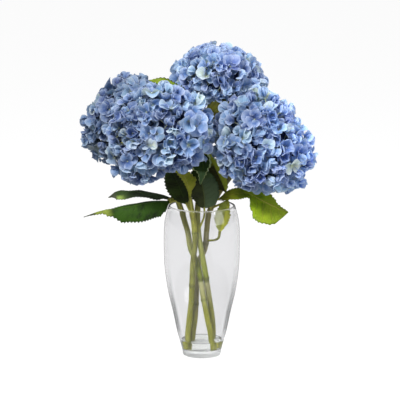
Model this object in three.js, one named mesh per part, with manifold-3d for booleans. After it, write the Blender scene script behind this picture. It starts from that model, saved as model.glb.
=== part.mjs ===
// Blue mophead hydrangeas in a clear glass vase with a little water.
// Millimetres, +Z up. The origin is the centre of the vase's flat foot; -Y is the front.
import * as THREE from 'three'
import { mergeVertices } from 'three/addons/utils/BufferGeometryUtils.js'
import Module from 'manifold-3d'

const wasm = await Module()
wasm.setup()

// ---------------------------------------------------------------- driving dimensions
const GAP = 0.3 // air left between two pieces that touch

const VASE_HEIGHT = 250
const VASE_WALL = 3.2
const FLOOR_THICKNESS = 11 // solid glass under the water
const FOOT_RADIUS = 27 // the flat disc that the vase stands on
const VASE_SIDES = 36
// outer radius of the vase at a few heights, from the foot to the rim
const VASE_RADII = [[30.8, 4], [34.2, 18], [39.7, 37], [47.3, 73], [55.4, 108], [60.8, 146],
  [62.1, 175], [60.9, 222], [54.5, VASE_HEIGHT]]

const WATER_DEPTH = 15
const WATER_LEVEL = FLOOR_THICKNESS + WATER_DEPTH

const STEM_RADIUS = 4.6
const STEM_SIDES = 7
const PETIOLE_RADIUS = 1.7
const STEM_STEPS = 15
const STEM_FOOT = FLOOR_THICKNESS + GAP // the stems stand on the glass floor
const STEM_OFFCUT = 6 // each stem runs this much lower before it is cut off level

const BLADE_THICKNESS = 0.9
const PETAL_THICKNESS = 1.0

// A head is a dome on a shallow underside: radius across, rise of the dome, depth of the underside.
const DOME_RISE = 56
const DOME_UNDERSIDE = 29
const FLORETS_PER_HEAD = 22
const FLORET_RADIUS = 27 // larger than life, so that fewer florets still cover the head
const FLORET_CUP = 0.22 // rise of the petals' tips against their length
const STALK_LENGTH = 18
const STEM_IN_HEAD = 13 // how far a stem's end stands in the hole of its head

// Real heads are not round: a swell pushes the dome out or in, towards a direction, by a share of
// its size, over an angle in degrees.
const HEADS = {
  left: { centre: [-121, 76, 382], axis: [-0.65, 0.3, 0.7], radius: 77, seed: 11,
    swells: [[[-0.22, 0, -0.97], 0.5, 24], [[-0.65, 0.1, -0.75], 0.08, 24],
      [[-0.9, 0, -0.4], -0.05, 20], [[-0.75, 0.1, 0.65], -0.05, 26], [[0.7, 0, 0.7], -0.12, 30]] },
  front: { centre: [-66, -60, 379], axis: [-0.1, -0.93, 0.35], radius: 81, seed: 23,
    swells: [[[0.1, -0.4, -0.92], -0.28, 30], [[0.5, -0.3, -0.82], -0.14, 26],
      [[-0.6, -0.2, -0.8], 0.24, 24], [[0.08, 0.37, 0.93], -0.14, 30]] },
  top: { centre: [30, 68, 446], axis: [0.21, 0, 0.978], radius: 77, seed: 37,
    swells: [[[-0.98, 0, -0.1], 0.07, 24], [[-0.7, 0, 0.7], -0.12, 26], [[0.38, 0, 0.92], -0.16, 30],
      [[0.9, 0, 0.35], -0.07, 25]] },
  right: { centre: [101, -43, 361], axis: [0.3, -0.9, 0.3], radius: 84, seed: 53,
    swells: [[[0.76, 0.3, 0.56], -0.3, 34], [[0.95, 0.3, 0], -0.06, 26], [[0.68, 0, -0.73], 0.1, 15],
      [[0.15, -0.3, -0.95], -0.08, 22], [[-0.75, 0.47, 0.47], 0.1, 24]] },
}

// Centre lines of the stems from the foot up; each ends along its head's axis.
const STEMS = {
  left: [[17, -13, STEM_FOOT], [14, -11, 40], [9, -8, 64], [2, -4, 101], [-5, 0, 142], [-9, 1, 157],
    [-18, 3, 176], [-23, 6, 204], [-28, 10, 220], [-34, 14, 240], [-50, 29, 280], [-70, 46, 318]],
  front: [[-21, -6, STEM_FOOT], [-23, -5, 28], [-20, -5, 63], [-17, -7, 93], [-15, -11, 141],
    [-13, -13, 170], [-11, -14, 186], [-13, -14, 223], [-16, -12, 239], [-22, -8, 269],
    [-34, 0, 309], [-47, 10, 340]],
  top: [[17, 14, STEM_FOOT], [19, 15, 30], [17, 10, 61], [9, 0, 116], [5, -6, 143], [0, -9, 172],
    [-5, -7, 202], [-7, -3, 239], [-3, 6, 275], [3, 20, 310], [12, 42, 356]],
  right: [[-16, 7, STEM_FOOT], [-15, 6, 30], [-11, 5, 63], [-9, 6, 100], [-9, 9, 124],
    [-5, 11, 153], [5, 11, 175], [8, 9, 204], [12, 9, 235], [28, 14, 268], [52, 22, 300],
    [73, 22, 328]],
}
// Swollen joints on the stems, where leaves were taken off.
const STEM_JOINTS = { left: [93], front: [118, 206], top: [131], right: [84, 186] }
const JOINT_HEIGHT = 4
const JOINT_SWELL = 0.9

// Leaves: the stem and height that the stalk grows from, the midrib, which way the upper face
// looks at the base and at the tip, the half width and where along the blade it is widest. An
// uneven blade has an outline instead: places along it with the width of its two sides there.
const LEAVES = {
  leaf_left_low: { stem: 'left', rootZ: 229, rib: [[-52, -6, 258], [-82, -26, 260],
    [-112, -40, 256], [-143, -47, 252], [-166, -50, 248], [-191, -50, 240]],
  face: [[0, -0.5, 0.85], [0, -0.8, 0.6]], halfWidth: 24,
  outline: [[0, 0.12, 0.1], [0.1, 0.68, 0.4], [0.17, 0.94, 0.45], [0.4, 1, 0.45], [0.58, 0.88, 0.4],
    [0.72, 0.4, 0.2], [0.8, 0.15, 0.1], [1, 0.03, 0.03]],
  fold: -0.7, wave: 1, teeth: 8 },
  leaf_left_high: { stem: 'left', rootZ: 238, rib: [[-49, 6, 260], [-68, 0, 267],
    [-93, -8, 272], [-120, -12, 274], [-140, -13, 272], [-152, -13, 265]],
  face: [[0, -0.3, 1], [0, -0.3, 1]], halfWidth: 17,
  outline: [[0, 0.12, 0.12], [0.12, 0.5, 0.6], [0.25, 0.85, 0.8], [0.4, 0.7, 1], [0.55, 0.75, 1],
    [0.75, 1, 0.9], [0.88, 0.9, 0.65], [0.95, 0.3, 0.2], [1, 0.04, 0.04]],
  fold: -0.3, wave: 1, teeth: 7 },
  leaf_mid_left: { stem: 'front', rootZ: 226, rib: [[-25, -20, 256], [-33, -16, 273],
    [-41, -12, 291], [-48, -10, 310], [-54, -4, 329]],
  face: [[-0.1, -1, 0.2], [-0.1, -1, 0.4]], halfWidth: 21, widest: 0.42, fold: 0.15, wave: 1.5, teeth: 6 },
  leaf_folded: { stem: 'front', rootZ: 215, rib: [[-19, -33, 268], [-21, -36, 284],
    [-28, -36, 304], [-39, -34, 326]],
  face: [[0.3, -1, 0], [0.1, -1, 0.3]], halfWidth: 19,
  outline: [[0, 0.1, 0.1], [0.15, 0.14, 0.25], [0.3, 0.2, 0.8], [0.42, 0.26, 1], [0.56, 0.36, 0.78],
    [0.72, 0.5, 0.55], [0.88, 0.55, 0.45], [1, 0.15, 0.15]],
  fold: -0.4, wave: 1, teeth: 6 },
  leaf_centre: { stem: 'top', rootZ: 208, rib: [[4, -15, 248], [4, -20, 267], [1, -22, 285],
    [-2, -20, 302], [-3, -13, 320]],
  face: [[0, -1, 0.1], [0, -1, 0.35]], halfWidth: 27,
  outline: [[0, 0.14, 0.14], [0.05, 0.4, 0.5], [0.12, 0.52, 0.72], [0.3, 0.8, 0.95], [0.48, 1, 1],
    [0.68, 0.86, 0.86], [0.84, 0.56, 0.56], [0.94, 0.26, 0.26], [1, 0.04, 0.04]],
  fold: 0.1, wave: 1.5, teeth: 6 },
  leaf_centre_right: { stem: 'right', rootZ: 244, rib: [[39, 3, 271], [34, -1, 285],
    [27, -3, 301], [18, -5, 320], [9, -5, 341]],
  face: [[-0.2, -1, 0.2], [-0.3, -1, 0.3]], halfWidth: 14,
  outline: [[0, 0.12, 0.12], [0.14, 0.7, 0.6], [0.35, 1, 0.86], [0.6, 0.85, 0.82], [0.82, 0.6, 0.6],
    [0.94, 0.3, 0.35], [1, 0.05, 0.05]],
  fold: 0.3, wave: 1, teeth: 6 },
  leaf_curled: { stem: 'front', rootZ: 300, rib: [[-11, -15, 331], [-3, -25, 334],
    [2, -34, 326], [2, -40, 312], [-1, -43, 300], [-2, -44, 292]],
  face: [[-0.2, -1, 0.3], [-0.2, -1, 0.3]], halfWidth: 24,
  outline: [[0, 0.12, 0.12], [0.2, 0.42, 0.5], [0.35, 0.68, 0.85], [0.5, 0.62, 1], [0.6, 0.42, 0.85],
    [0.7, 0.3, 0.45], [0.8, 0.22, 0.25], [0.9, 0.14, 0.15], [1, 0.04, 0.04]],
  fold: 0.25, wave: 0.4, teeth: 5 },
  leaf_right: { stem: 'right', rootZ: 240, rib: [[29, -8, 262], [51, -16, 271], [74, -20, 273],
    [95, -26, 264], [116, -33, 255], [140, -38, 245]],
  face: [[0, -0.5, 0.85], [0.2, -0.85, 0.5]], halfWidth: 38,
  outline: [[0, 0.1, 0.1], [0.1, 0.28, 0.3], [0.3, 0.34, 0.38], [0.45, 0.36, 0.3], [0.57, 0.55, 0.75],
    [0.65, 0.5, 1.05], [0.74, 0.38, 1.12], [0.84, 0.18, 1], [0.91, 0.1, 0.8], [0.95, 0.08, 0.45],
    [1, 0.03, 0.03]],
  fold: 0.1, wave: 2, teeth: 9 },
  leaf_neck: { stem: 'right', rootZ: 190, rib: [[29, -6, 206], [32, -9, 219], [36, -11, 233],
    [40, -10, 247], [43, -8, 259]],
  face: [[-0.2, -1, 0.1], [0, -1, 0]], halfWidth: 16,
  outline: [[0, 0.1, 0.1], [0.15, 0.6, 0.4], [0.35, 1, 0.65], [0.55, 1, 0.68], [0.75, 0.85, 0.45],
    [0.9, 0.6, 0.3], [1, 0.1, 0.1]],
  fold: -0.3, wave: 0.5, teeth: 5 },
  leaf_behind_left: { stem: 'top', rootZ: 372, rib: [[0, 38, 400], [-20, 20, 416],
    [-43, 5, 438], [-63, 6, 451], [-86, 10, 454]],
  face: [[0.2, -0.7, 0.6], [0.3, -0.7, 0.6]], halfWidth: 15, widest: 0.5, fold: 0.12, wave: 1.5, teeth: 6 },
  leaf_behind_right: { stem: 'top', rootZ: 342, rib: [[12, 28, 370], [13, 18, 390],
    [21, 7, 405], [42, -2, 414], [66, -2, 419], [90, 1, 426]],
  face: [[0.2, -1, 0.2], [0, -0.8, 0.6]], halfWidth: 15, widest: 0.4, fold: 0.12, wave: 1, teeth: 6 },
  leaf_behind_edge: { stem: 'right', rootZ: 318, rib: [[82, 40, 338], [102, 52, 350],
    [126, 56, 372], [146, 46, 396]],
  face: [[0, -0.7, 0.7], [0.3, -0.9, 0.2]], halfWidth: 19, widest: 0.45, fold: 0.12, wave: 1, teeth: 5 },
  leaf_back: { stem: 'top', rootZ: 246, rib: [[4, 34, 268], [10, 60, 282], [15, 90, 284],
    [18, 116, 272]],
  face: [[0, 0, 1], [0, 0.4, 0.9]], halfWidth: 24, widest: 0.42, fold: 0.15, wave: 1.5, teeth: 5 },
}

// ---------------------------------------------------------------- materials
const surface = (colour, roughness) =>
  new THREE.MeshStandardMaterial({ color: colour, roughness, metalness: 0 })
const glass = surface(0xe9eeee, 0.05)
const water = surface(0xe6eee6, 0.02)
const stemGreen = surface(0x8f9450, 0.55)
const petalBlue = { left: surface(0x6f8cc8, 0.7), front: surface(0x7a95ce, 0.7),
  top: surface(0x7391cc, 0.7), right: surface(0x7893cc, 0.7) }
const deepLeaf = surface(0x2f5a1e, 0.6)
const freshLeaf = surface(0x7f9a2e, 0.6)
const FRESH_LEAVES = ['leaf_folded', 'leaf_right', 'leaf_neck', 'leaf_centre_right', 'leaf_behind_left']

// ---------------------------------------------------------------- helpers
const vector = (p) => new THREE.Vector3(...p)

function solid(geometry) {
  const bare = geometry.clone()
  bare.deleteAttribute('normal')
  bare.deleteAttribute('uv')
  const merged = mergeVertices(bare, 1e-4)
  const made = new wasm.Manifold(new wasm.Mesh({
    numProp: 3,
    vertProperties: new Float32Array(merged.attributes.position.array),
    triVerts: new Uint32Array(merged.index.array),
  }))
  return made
}

function geometryOf(manifold) {
  const { vertProperties, triVerts } = manifold.getMesh()
  const geometry = new THREE.BufferGeometry()
  geometry.setAttribute('position', new THREE.BufferAttribute(vertProperties, 3))
  geometry.setIndex(new THREE.BufferAttribute(triVerts, 1))
  return geometry
}

// The largest body of a cut solid: a loose scrap of a petal is dropped.
const largestBody = (manifold) =>
  manifold.decompose().reduce((best, body) => (body.volume() > best.volume() ? body : best))

function named(name, geometry, material) {
  const mesh = new THREE.Mesh(geometry, material)
  mesh.name = name
  return mesh
}

function seededRandom(seed) {
  let state = seed
  return () => {
    state = (state + 0x6d2b79f5) | 0
    let t = Math.imul(state ^ (state >>> 15), 1 | state)
    t = (t + Math.imul(t ^ (t >>> 7), 61 | t)) ^ t
    return ((t ^ (t >>> 14)) >>> 0) / 4294967296
  }
}

function tube(curve, radius, sides, steps) {
  const ring = Array.from({ length: sides }, (_, i) => {
    const angle = (i / sides) * 2 * Math.PI
    return new THREE.Vector2(radius * Math.cos(angle), radius * Math.sin(angle))
  })
  const options = { extrudePath: curve, steps, bevelEnabled: false }
  return new THREE.ExtrudeGeometry(new THREE.Shape(ring), options)
}

const curveThrough = (points) => new THREE.CatmullRomCurve3(points, false, 'centripetal')

// ---------------------------------------------------------------- vase and water
const vaseWall = new THREE.SplineCurve(VASE_RADII.map(([r, z]) => new THREE.Vector2(r, z)))
const WALL_STEPS = 10
const wallPoints = vaseWall.getSpacedPoints(WALL_STEPS)

function outerRadiusAt(z) {
  const above = wallPoints.findIndex((p) => p.y >= z)
  const [low, high] = [wallPoints[above - 1], wallPoints[above]]
  return THREE.MathUtils.mapLinear(z, low.y, high.y, low.x, high.x)
}

// The inside of the vase from the middle of its floor up to a height, a given gap away from it.
function insideProfile(top, gap) {
  const wall = VASE_WALL + gap
  const floor = FLOOR_THICKNESS + gap
  const corner = 4
  const heights = wallPoints.map((p) => p.y).filter((z) => z > floor + corner + 1 && z < top - 1)
  return [
    new THREE.Vector2(0, floor),
    new THREE.Vector2(outerRadiusAt(floor + corner) - wall - corner, floor),
    ...[floor + corner, ...heights, top].map((z) => new THREE.Vector2(outerRadiusAt(z) - wall, z)),
  ]
}

function buildVase() {
  const lip = 1.2 // rounding of the rim
  const outside = wallPoints.slice(0, -1)
  const rim = wallPoints.at(-1)
  const profile = [
    new THREE.Vector2(0, 0),
    new THREE.Vector2(FOOT_RADIUS, 0),
    ...outside,
    new THREE.Vector2(rim.x, VASE_HEIGHT - lip),
    new THREE.Vector2(rim.x - lip, VASE_HEIGHT),
    new THREE.Vector2(rim.x - VASE_WALL + lip, VASE_HEIGHT),
    ...insideProfile(VASE_HEIGHT - lip, 0).reverse(),
  ]
  return new THREE.LatheGeometry(profile, VASE_SIDES).rotateX(Math.PI / 2)
}

function buildWater(stems) {
  const profile = [...insideProfile(WATER_LEVEL, GAP), new THREE.Vector2(0, WATER_LEVEL)]
  let body = solid(new THREE.LatheGeometry(profile, VASE_SIDES).rotateX(Math.PI / 2))
  for (const stem of Object.values(stems)) body = body.subtract(holeFor(stem))
  return geometryOf(body)
}

// ---------------------------------------------------------------- stems
const headAxis = (head) => vector(head.axis).normalize()

function stemCurve(name) {
  const head = HEADS[name]
  const into = (depth) => vector(head.centre).addScaledVector(headAxis(head), -depth)
  const top = [into(DOME_UNDERSIDE + 22), into(DOME_UNDERSIDE - STEM_IN_HEAD)]
  const [foot, next] = STEMS[name].map(vector)
  const low = foot.clone().addScaledVector(next.clone().sub(foot).normalize(), -STEM_OFFCUT)
  return curveThrough([low, foot, ...STEMS[name].slice(1).map(vector), ...top])
}

// The space that a stem needs in the water or in its head: the stem with air all round it.
function holeFor(curve) {
  const tip = curve.getPoint(1)
  const along = curve.getTangent(1)
  const at = (distance) => tip.clone().addScaledVector(along, distance)
  const end = new THREE.LineCurve3(at(-2), at(GAP))
  const wide = STEM_RADIUS + GAP
  return solid(tube(curve, wide, STEM_SIDES, STEM_STEPS)).add(solid(tube(end, wide + 0.2, 12, 1)))
}

function pointAtHeight(curve, z) {
  const SAMPLES = 400
  const points = curve.getPoints(SAMPLES)
  return points.reduce((best, p) => (Math.abs(p.z - z) < Math.abs(best.z - z) ? p : best))
}

function stemJoint(curve, z) {
  const middle = pointAtHeight(curve, z)
  const along = pointAtHeight(curve, z + 3).sub(middle).normalize()
  const wide = STEM_RADIUS + JOINT_SWELL
  const profile = [[0, -1], [STEM_RADIUS - 0.3, -1], [wide, 0], [STEM_RADIUS - 0.3, 1], [0, 1]]
    .map(([r, h]) => new THREE.Vector2(r, (h * JOINT_HEIGHT) / 2))
  const turn = new THREE.Quaternion().setFromUnitVectors(new THREE.Vector3(0, 1, 0), along)
  return new THREE.LatheGeometry(profile, 9).applyQuaternion(turn).translate(...middle)
}

function petiole(curve, leaf) {
  const root = pointAtHeight(curve, leaf.rootZ)
  const [base, next] = leaf.rib.slice(0, 2).map(vector)
  const along = next.clone().sub(base).normalize()
  const end = base.clone().addScaledVector(along, -GAP - 0.05)
  const before = base.clone().addScaledVector(along, -0.35 * root.distanceTo(base))
  return tube(curveThrough([root, before, end]), PETIOLE_RADIUS, 5, 3)
}

function buildStem(name, curve) {
  const below = new THREE.BoxGeometry(80, 80, 20).translate(0, 0, STEM_FOOT - 10)
  let body = solid(tube(curve, STEM_RADIUS, STEM_SIDES, STEM_STEPS)).subtract(solid(below))
  for (const z of STEM_JOINTS[name]) body = body.add(solid(stemJoint(curve, z)))
  for (const leaf of Object.values(LEAVES).filter((each) => each.stem === name)) {
    body = body.add(solid(petiole(curve, leaf)))
  }
  return body
}

// ---------------------------------------------------------------- leaves
// Half width of an ovate blade, 0 at the base and the tip and 1 where it is widest.
function ovate(t, widest) {
  const power = Math.log(0.5) / Math.log(widest)
  return Math.sin(Math.PI * t ** power) ** 0.85
}

// Width of a leaf's two sides at t, in shares of its half width.
function sideShares(leaf, t) {
  if (!leaf.outline) return [ovate(t, leaf.widest), ovate(t, leaf.widest)]
  const above = Math.max(1, leaf.outline.findIndex(([at]) => at >= t))
  const [low, high] = [leaf.outline[above - 1], leaf.outline[above]]
  const share = THREE.MathUtils.smoothstep(t, low[0], high[0])
  return [1, 2].map((side) => THREE.MathUtils.lerp(low[side], high[side], share))
}

// A closed blade over rows of points: the same rows give both faces, so they split alike.
function bladeGeometry(rows, thickness) {
  const across = rows[0].length
  const corners = []
  for (const side of [0.5, -0.5]) {
    for (const row of rows) {
      for (const { at, normal } of row) {
        corners.push(...at.clone().addScaledVector(normal, side * thickness))
      }
    }
  }
  const index = []
  const bottom = rows.length * across
  const top = (row, column) => row * across + column
  const quad = (a, b, c, d) => index.push(a, b, c, a, c, d)
  for (let row = 0; row < rows.length - 1; row++) {
    for (let column = 0; column < across - 1; column++) {
      const [a, b] = [top(row, column), top(row, column + 1)]
      const [c, d] = [top(row + 1, column + 1), top(row + 1, column)]
      quad(a, b, c, d)
      index.push(bottom + a, bottom + c, bottom + b, bottom + a, bottom + d, bottom + c)
    }
  }
  const edge = []
  for (let column = 0; column < across; column++) edge.push(top(0, column))
  for (let row = 1; row < rows.length; row++) edge.push(top(row, across - 1))
  for (let column = across - 2; column >= 0; column--) edge.push(top(rows.length - 1, column))
  for (let row = rows.length - 2; row > 0; row--) edge.push(top(row, 0))
  edge.forEach((corner, i) => {
    const next = edge[(i + 1) % edge.length]
    quad(next, corner, bottom + corner, bottom + next)
  })
  const geometry = new THREE.BufferGeometry()
  geometry.setAttribute('position', new THREE.Float32BufferAttribute(corners, 3))
  geometry.setIndex(index)
  return geometry
}

function buildLeaf(leaf) {
  const rib = curveThrough(leaf.rib.map(vector))
  const [faceBase, faceTip] = leaf.face.map((f) => vector(f).normalize())
  const BASE_HALF_WIDTH = 1.6
  const TIP_HALF_WIDTH = 0.7
  const NOTCH = 0.86 // width left at the foot of a tooth
  const TOOTH_LEAN = 0.72 // a tooth's point sits this far along its step, towards the tip
  const stations = [0]
  for (let tooth = 0; tooth < leaf.teeth; tooth++) {
    stations.push((tooth + TOOTH_LEAN) / leaf.teeth, (tooth + 1) / leaf.teeth)
  }
  const rows = stations.map((t, i) => {
    const middle = rib.getPointAt(t)
    const along = rib.getTangentAt(t)
    const face = faceBase.clone().lerp(faceTip, t)
    const across = new THREE.Vector3().crossVectors(along, face).normalize()
    const normal = new THREE.Vector3().crossVectors(across, along).normalize()
    const toothed = i % 2 === 1 ? 1 : NOTCH
    const least = THREE.MathUtils.lerp(BASE_HALF_WIDTH, TIP_HALF_WIDTH, t)
    const shares = sideShares(leaf, t)
    return [-1, 0, 1].map((side) => {
      const half = Math.max(least, leaf.halfWidth * shares[side < 0 ? 0 : 1] * toothed)
      const wave = side * side * leaf.wave * Math.sin(5 * Math.PI * t + side)
      const lift = side === 0 ? 0 : leaf.fold * half + wave * Math.sin(Math.PI * t)
      const at = middle.clone().addScaledVector(across, side * half).addScaledVector(normal, lift)
      return { at, normal }
    })
  })
  return bladeGeometry(rows, BLADE_THICKNESS)
}

// ---------------------------------------------------------------- heads
// Distance from a head's centre to the surface of its dome, at a given cosine from its axis.
function domeReach(head, cosine) {
  const rise = cosine > 0 ? DOME_RISE : DOME_UNDERSIDE
  const sine2 = 1 - cosine * cosine
  return 1 / Math.sqrt(sine2 / head.radius ** 2 + (cosine / rise) ** 2)
}

const headTurn = (head) =>
  new THREE.Quaternion().setFromUnitVectors(new THREE.Vector3(0, 0, 1), headAxis(head))

const headFrame = (head) =>
  new THREE.Matrix4().compose(vector(head.centre), headTurn(head), new THREE.Vector3(1, 1, 1))

// The size of a head's dome towards a point of its own frame, with its swells.
function swellAt(head, point) {
  const direction = point.clone().normalize().applyQuaternion(headTurn(head))
  return head.swells.reduce((size, [towards, by, width]) => {
    const angle = THREE.MathUtils.radToDeg(direction.angleTo(vector(towards)))
    return size + by * Math.exp(-((angle / width) ** 2))
  }, 1)
}

function headCore(head) {
  const CORE = 0.8 // size of the core against the dome
  const core = new THREE.IcosahedronGeometry(1, 1)
  const points = core.attributes.position
  for (let i = 0; i < points.count; i++) {
    const direction = new THREE.Vector3().fromBufferAttribute(points, i).normalize()
    const reach = CORE * domeReach(head, direction.z) * swellAt(head, direction)
    points.setXYZ(i, direction.x * reach, direction.y * reach, direction.z * reach)
  }
  return core
}

// One floret facing +Z at the origin: four broad, cupped petals in one sheet, with a stalk that
// tapers down from its middle.
function floret(radius, random) {
  const outline = [[0.17, -45, 0], [0.68, -37, 0.5], [1, -16, 0.8], [1, 16, 0.8], [0.68, 37, 0.5]]
  const ring = []
  for (let petal = 0; petal < 4; petal++) {
    const size = radius * (0.92 + 0.16 * random())
    const lift = FLORET_CUP * radius * (0.4 + 0.9 * random())
    for (const [reach, degrees, height] of outline) {
      const angle = THREE.MathUtils.degToRad(90 * petal + degrees)
      const out = reach * size
      ring.push([out * Math.cos(angle), out * Math.sin(angle), height * lift])
    }
  }
  const half = PETAL_THICKNESS / 2
  const corners = [0, 0, half - 1, 0, 0, -STALK_LENGTH]
  for (const [x, y, z] of ring) corners.push(x, y, z + half)
  for (const [x, y, z] of ring) corners.push(x, y, z - half)
  const count = ring.length
  const top = (i) => 2 + (i % count)
  const index = []
  // both faces of a petal are split alike: the middle, the waist and the rounded end
  for (let petal = 0; petal < 4; petal++) {
    const [n, l, a, b, r, m] = [0, 1, 2, 3, 4, 5].map((i) => top(5 * petal + i))
    for (const [i, j, k] of [[n, l, r], [n, r, m], [l, a, b], [l, b, r]]) {
      index.push(i, j, k, count + i, count + k, count + j)
    }
    index.push(0, n, m, 1, count + m, count + n)
  }
  for (let i = 0; i < count; i++) {
    const [a, b] = [top(i), top(i + 1)]
    index.push(a, count + a, b, count + a, count + b, b)
  }
  const geometry = new THREE.BufferGeometry()
  geometry.setAttribute('position', new THREE.Float32BufferAttribute(corners, 3))
  geometry.setIndex(index)
  return geometry
}

// Where the florets of a head sit and how each is turned: spread by the golden angle, a little
// out of line, each spun so that its petals fall between the petals already there.
function floretPlaces(head, random) {
  const GOLDEN_ANGLE = Math.PI * (3 - Math.sqrt(5))
  const LOWEST = -0.62 // florets stop short of the stem on the underside
  const SPINS = 9
  const tips = []
  const places = []
  for (let i = 0; i < FLORETS_PER_HEAD; i++) {
    const cosine = 1 - ((i + 0.5) / FLORETS_PER_HEAD) * (1 - LOWEST)
    const sine = Math.sqrt(1 - cosine * cosine)
    const angle = i * GOLDEN_ANGLE + 0.25 * (random() - 0.5)
    const rise = cosine > 0 ? DOME_RISE : DOME_UNDERSIDE
    const at = new THREE.Vector3(
      head.radius * sine * Math.cos(angle), head.radius * sine * Math.sin(angle), rise * cosine)
    const out = new THREE.Vector3(
      at.x / head.radius ** 2, at.y / head.radius ** 2, at.z / rise ** 2).normalize()
    const height = (i % 2 ? 0.94 : 0.9) + 0.03 * random() // neighbours stand at two heights
    at.multiplyScalar(height * swellAt(head, at))
    out.x += 0.24 * (random() - 0.5)
    out.y += 0.24 * (random() - 0.5)
    out.normalize()
    const upright = new THREE.Quaternion().setFromUnitVectors(new THREE.Vector3(0, 0, 1), out)
    let best = { room: -1 }
    for (let step = 0; step < SPINS; step++) {
      const spin = new THREE.Quaternion().setFromAxisAngle(out, (step / SPINS) * (Math.PI / 2))
      const turn = spin.multiply(upright)
      const mine = [[1, 0], [0, 1], [-1, 0], [0, -1]].map(([x, y]) =>
        new THREE.Vector3(x, y, 0).multiplyScalar(0.8 * FLORET_RADIUS).applyQuaternion(turn).add(at))
      const room = Math.min(99, ...mine.flatMap((tip) => tips.map((other) => tip.distanceTo(other))))
      if (room > best.room) best = { room, turn, mine }
    }
    tips.push(...best.mine)
    places.push(new THREE.Matrix4().compose(at, best.turn, new THREE.Vector3(1, 1, 1)))
  }
  return places
}

function buildHead(head, stem) {
  const random = seededRandom(head.seed)
  let body = solid(headCore(head))
  for (const place of floretPlaces(head, random)) {
    const radius = FLORET_RADIUS * (0.94 + 0.12 * random())
    body = body.add(solid(floret(radius, random).applyMatrix4(place)))
  }
  const placed = solid(geometryOf(body).applyMatrix4(headFrame(head)))
  return largestBody(placed.subtract(holeFor(stem)))
}

// ---------------------------------------------------------------- assembly
const group = new THREE.Group()
const stems = Object.fromEntries(Object.keys(STEMS).map((name) => [name, stemCurve(name)]))

group.add(named('vase', buildVase(), glass))
group.add(named('water', buildWater(stems), water))
for (const [name, stem] of Object.entries(stems)) {
  group.add(named(`stem_${name}`, geometryOf(buildStem(name, stem)), stemGreen))
}
for (const [name, leaf] of Object.entries(LEAVES)) {
  group.add(named(name, buildLeaf(leaf), FRESH_LEAVES.includes(name) ? freshLeaf : deepLeaf))
}
for (const [name, head] of Object.entries(HEADS)) {
  group.add(named(`bloom_${name}`, geometryOf(buildHead(head, stems[name])), petalBlue[name]))
}

export default group
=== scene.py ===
# %% [markdown]
# # Blue hydrangeas in a glass vase
#
# Four mophead hydrangeas stand in a clear vase with a little water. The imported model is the
# fixed frame: it says how large everything is and where it stands, in metres. Each piece of that
# frame gets a finer piece here that keeps its form: smooth glass, real stems with joints, leaves
# with veins and teeth, and heads made of florets.

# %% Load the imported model
import math
import random

import bpy
import numpy as np
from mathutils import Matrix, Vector


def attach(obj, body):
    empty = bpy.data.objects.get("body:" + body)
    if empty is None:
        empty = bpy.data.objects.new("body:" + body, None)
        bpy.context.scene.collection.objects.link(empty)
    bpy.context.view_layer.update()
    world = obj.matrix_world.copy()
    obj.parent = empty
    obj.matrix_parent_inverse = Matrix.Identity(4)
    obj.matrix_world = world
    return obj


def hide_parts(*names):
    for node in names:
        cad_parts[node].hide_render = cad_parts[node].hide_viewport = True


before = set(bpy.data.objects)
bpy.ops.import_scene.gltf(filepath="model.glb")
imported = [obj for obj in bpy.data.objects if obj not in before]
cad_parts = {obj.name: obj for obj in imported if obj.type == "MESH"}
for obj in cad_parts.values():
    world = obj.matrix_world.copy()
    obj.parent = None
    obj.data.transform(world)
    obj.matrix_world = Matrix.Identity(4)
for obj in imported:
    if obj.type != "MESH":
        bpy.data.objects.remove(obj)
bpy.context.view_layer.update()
MM = 0.001

# %% [markdown]
# ## Camera
#
# The camera stands far away and has a long lens, so that the vase's sides stay almost parallel.
# It is a little above the flowers' middle and looks down by about eleven degrees, which opens
# the rim and the water line into thin ellipses.

# %% Camera in front of the vase
LOOK_DOWN = math.radians(10.8)
CAMERA_DISTANCE = 5.0
VIEW_WIDTH = 652 * MM  # how wide the view is at the vase
FILM_WIDTH = 36  # mm
AIM = Vector((-2.9, 0, 258.4)) * MM

camera_data = bpy.data.cameras.new("camera")
camera_data.sensor_width = FILM_WIDTH
camera_data.lens = FILM_WIDTH * CAMERA_DISTANCE / VIEW_WIDTH
camera = bpy.data.objects.new("camera", camera_data)
camera.location = AIM + CAMERA_DISTANCE * Vector((0, -math.cos(LOOK_DOWN), math.sin(LOOK_DOWN)))
camera.rotation_euler = (math.pi / 2 - LOOK_DOWN, 0, 0)
bpy.context.scene.collection.objects.link(camera)
bpy.context.scene.camera = camera
print("lens", round(camera_data.lens), "mm")

# %% [markdown]
# ## Small tools for shader nodes
#
# Every finish below is a node tree. `Nodes` keeps one tree and adds to it: a node with its inputs
# plugged in, a sum, a smooth step, colours laid over each other, noise, or a value of the mesh. A
# node that is plugged in somewhere stands for its first output.

# %% Helpers for node trees
def srgb(red, green, blue):
    """A colour as a painter's 0 to 255 values, turned into linear light."""
    def linear(c):
        c /= 255
        return c / 12.92 if c <= 0.04045 else ((c + 0.055) / 1.055) ** 2.4
    return (linear(red), linear(green), linear(blue), 1)


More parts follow.
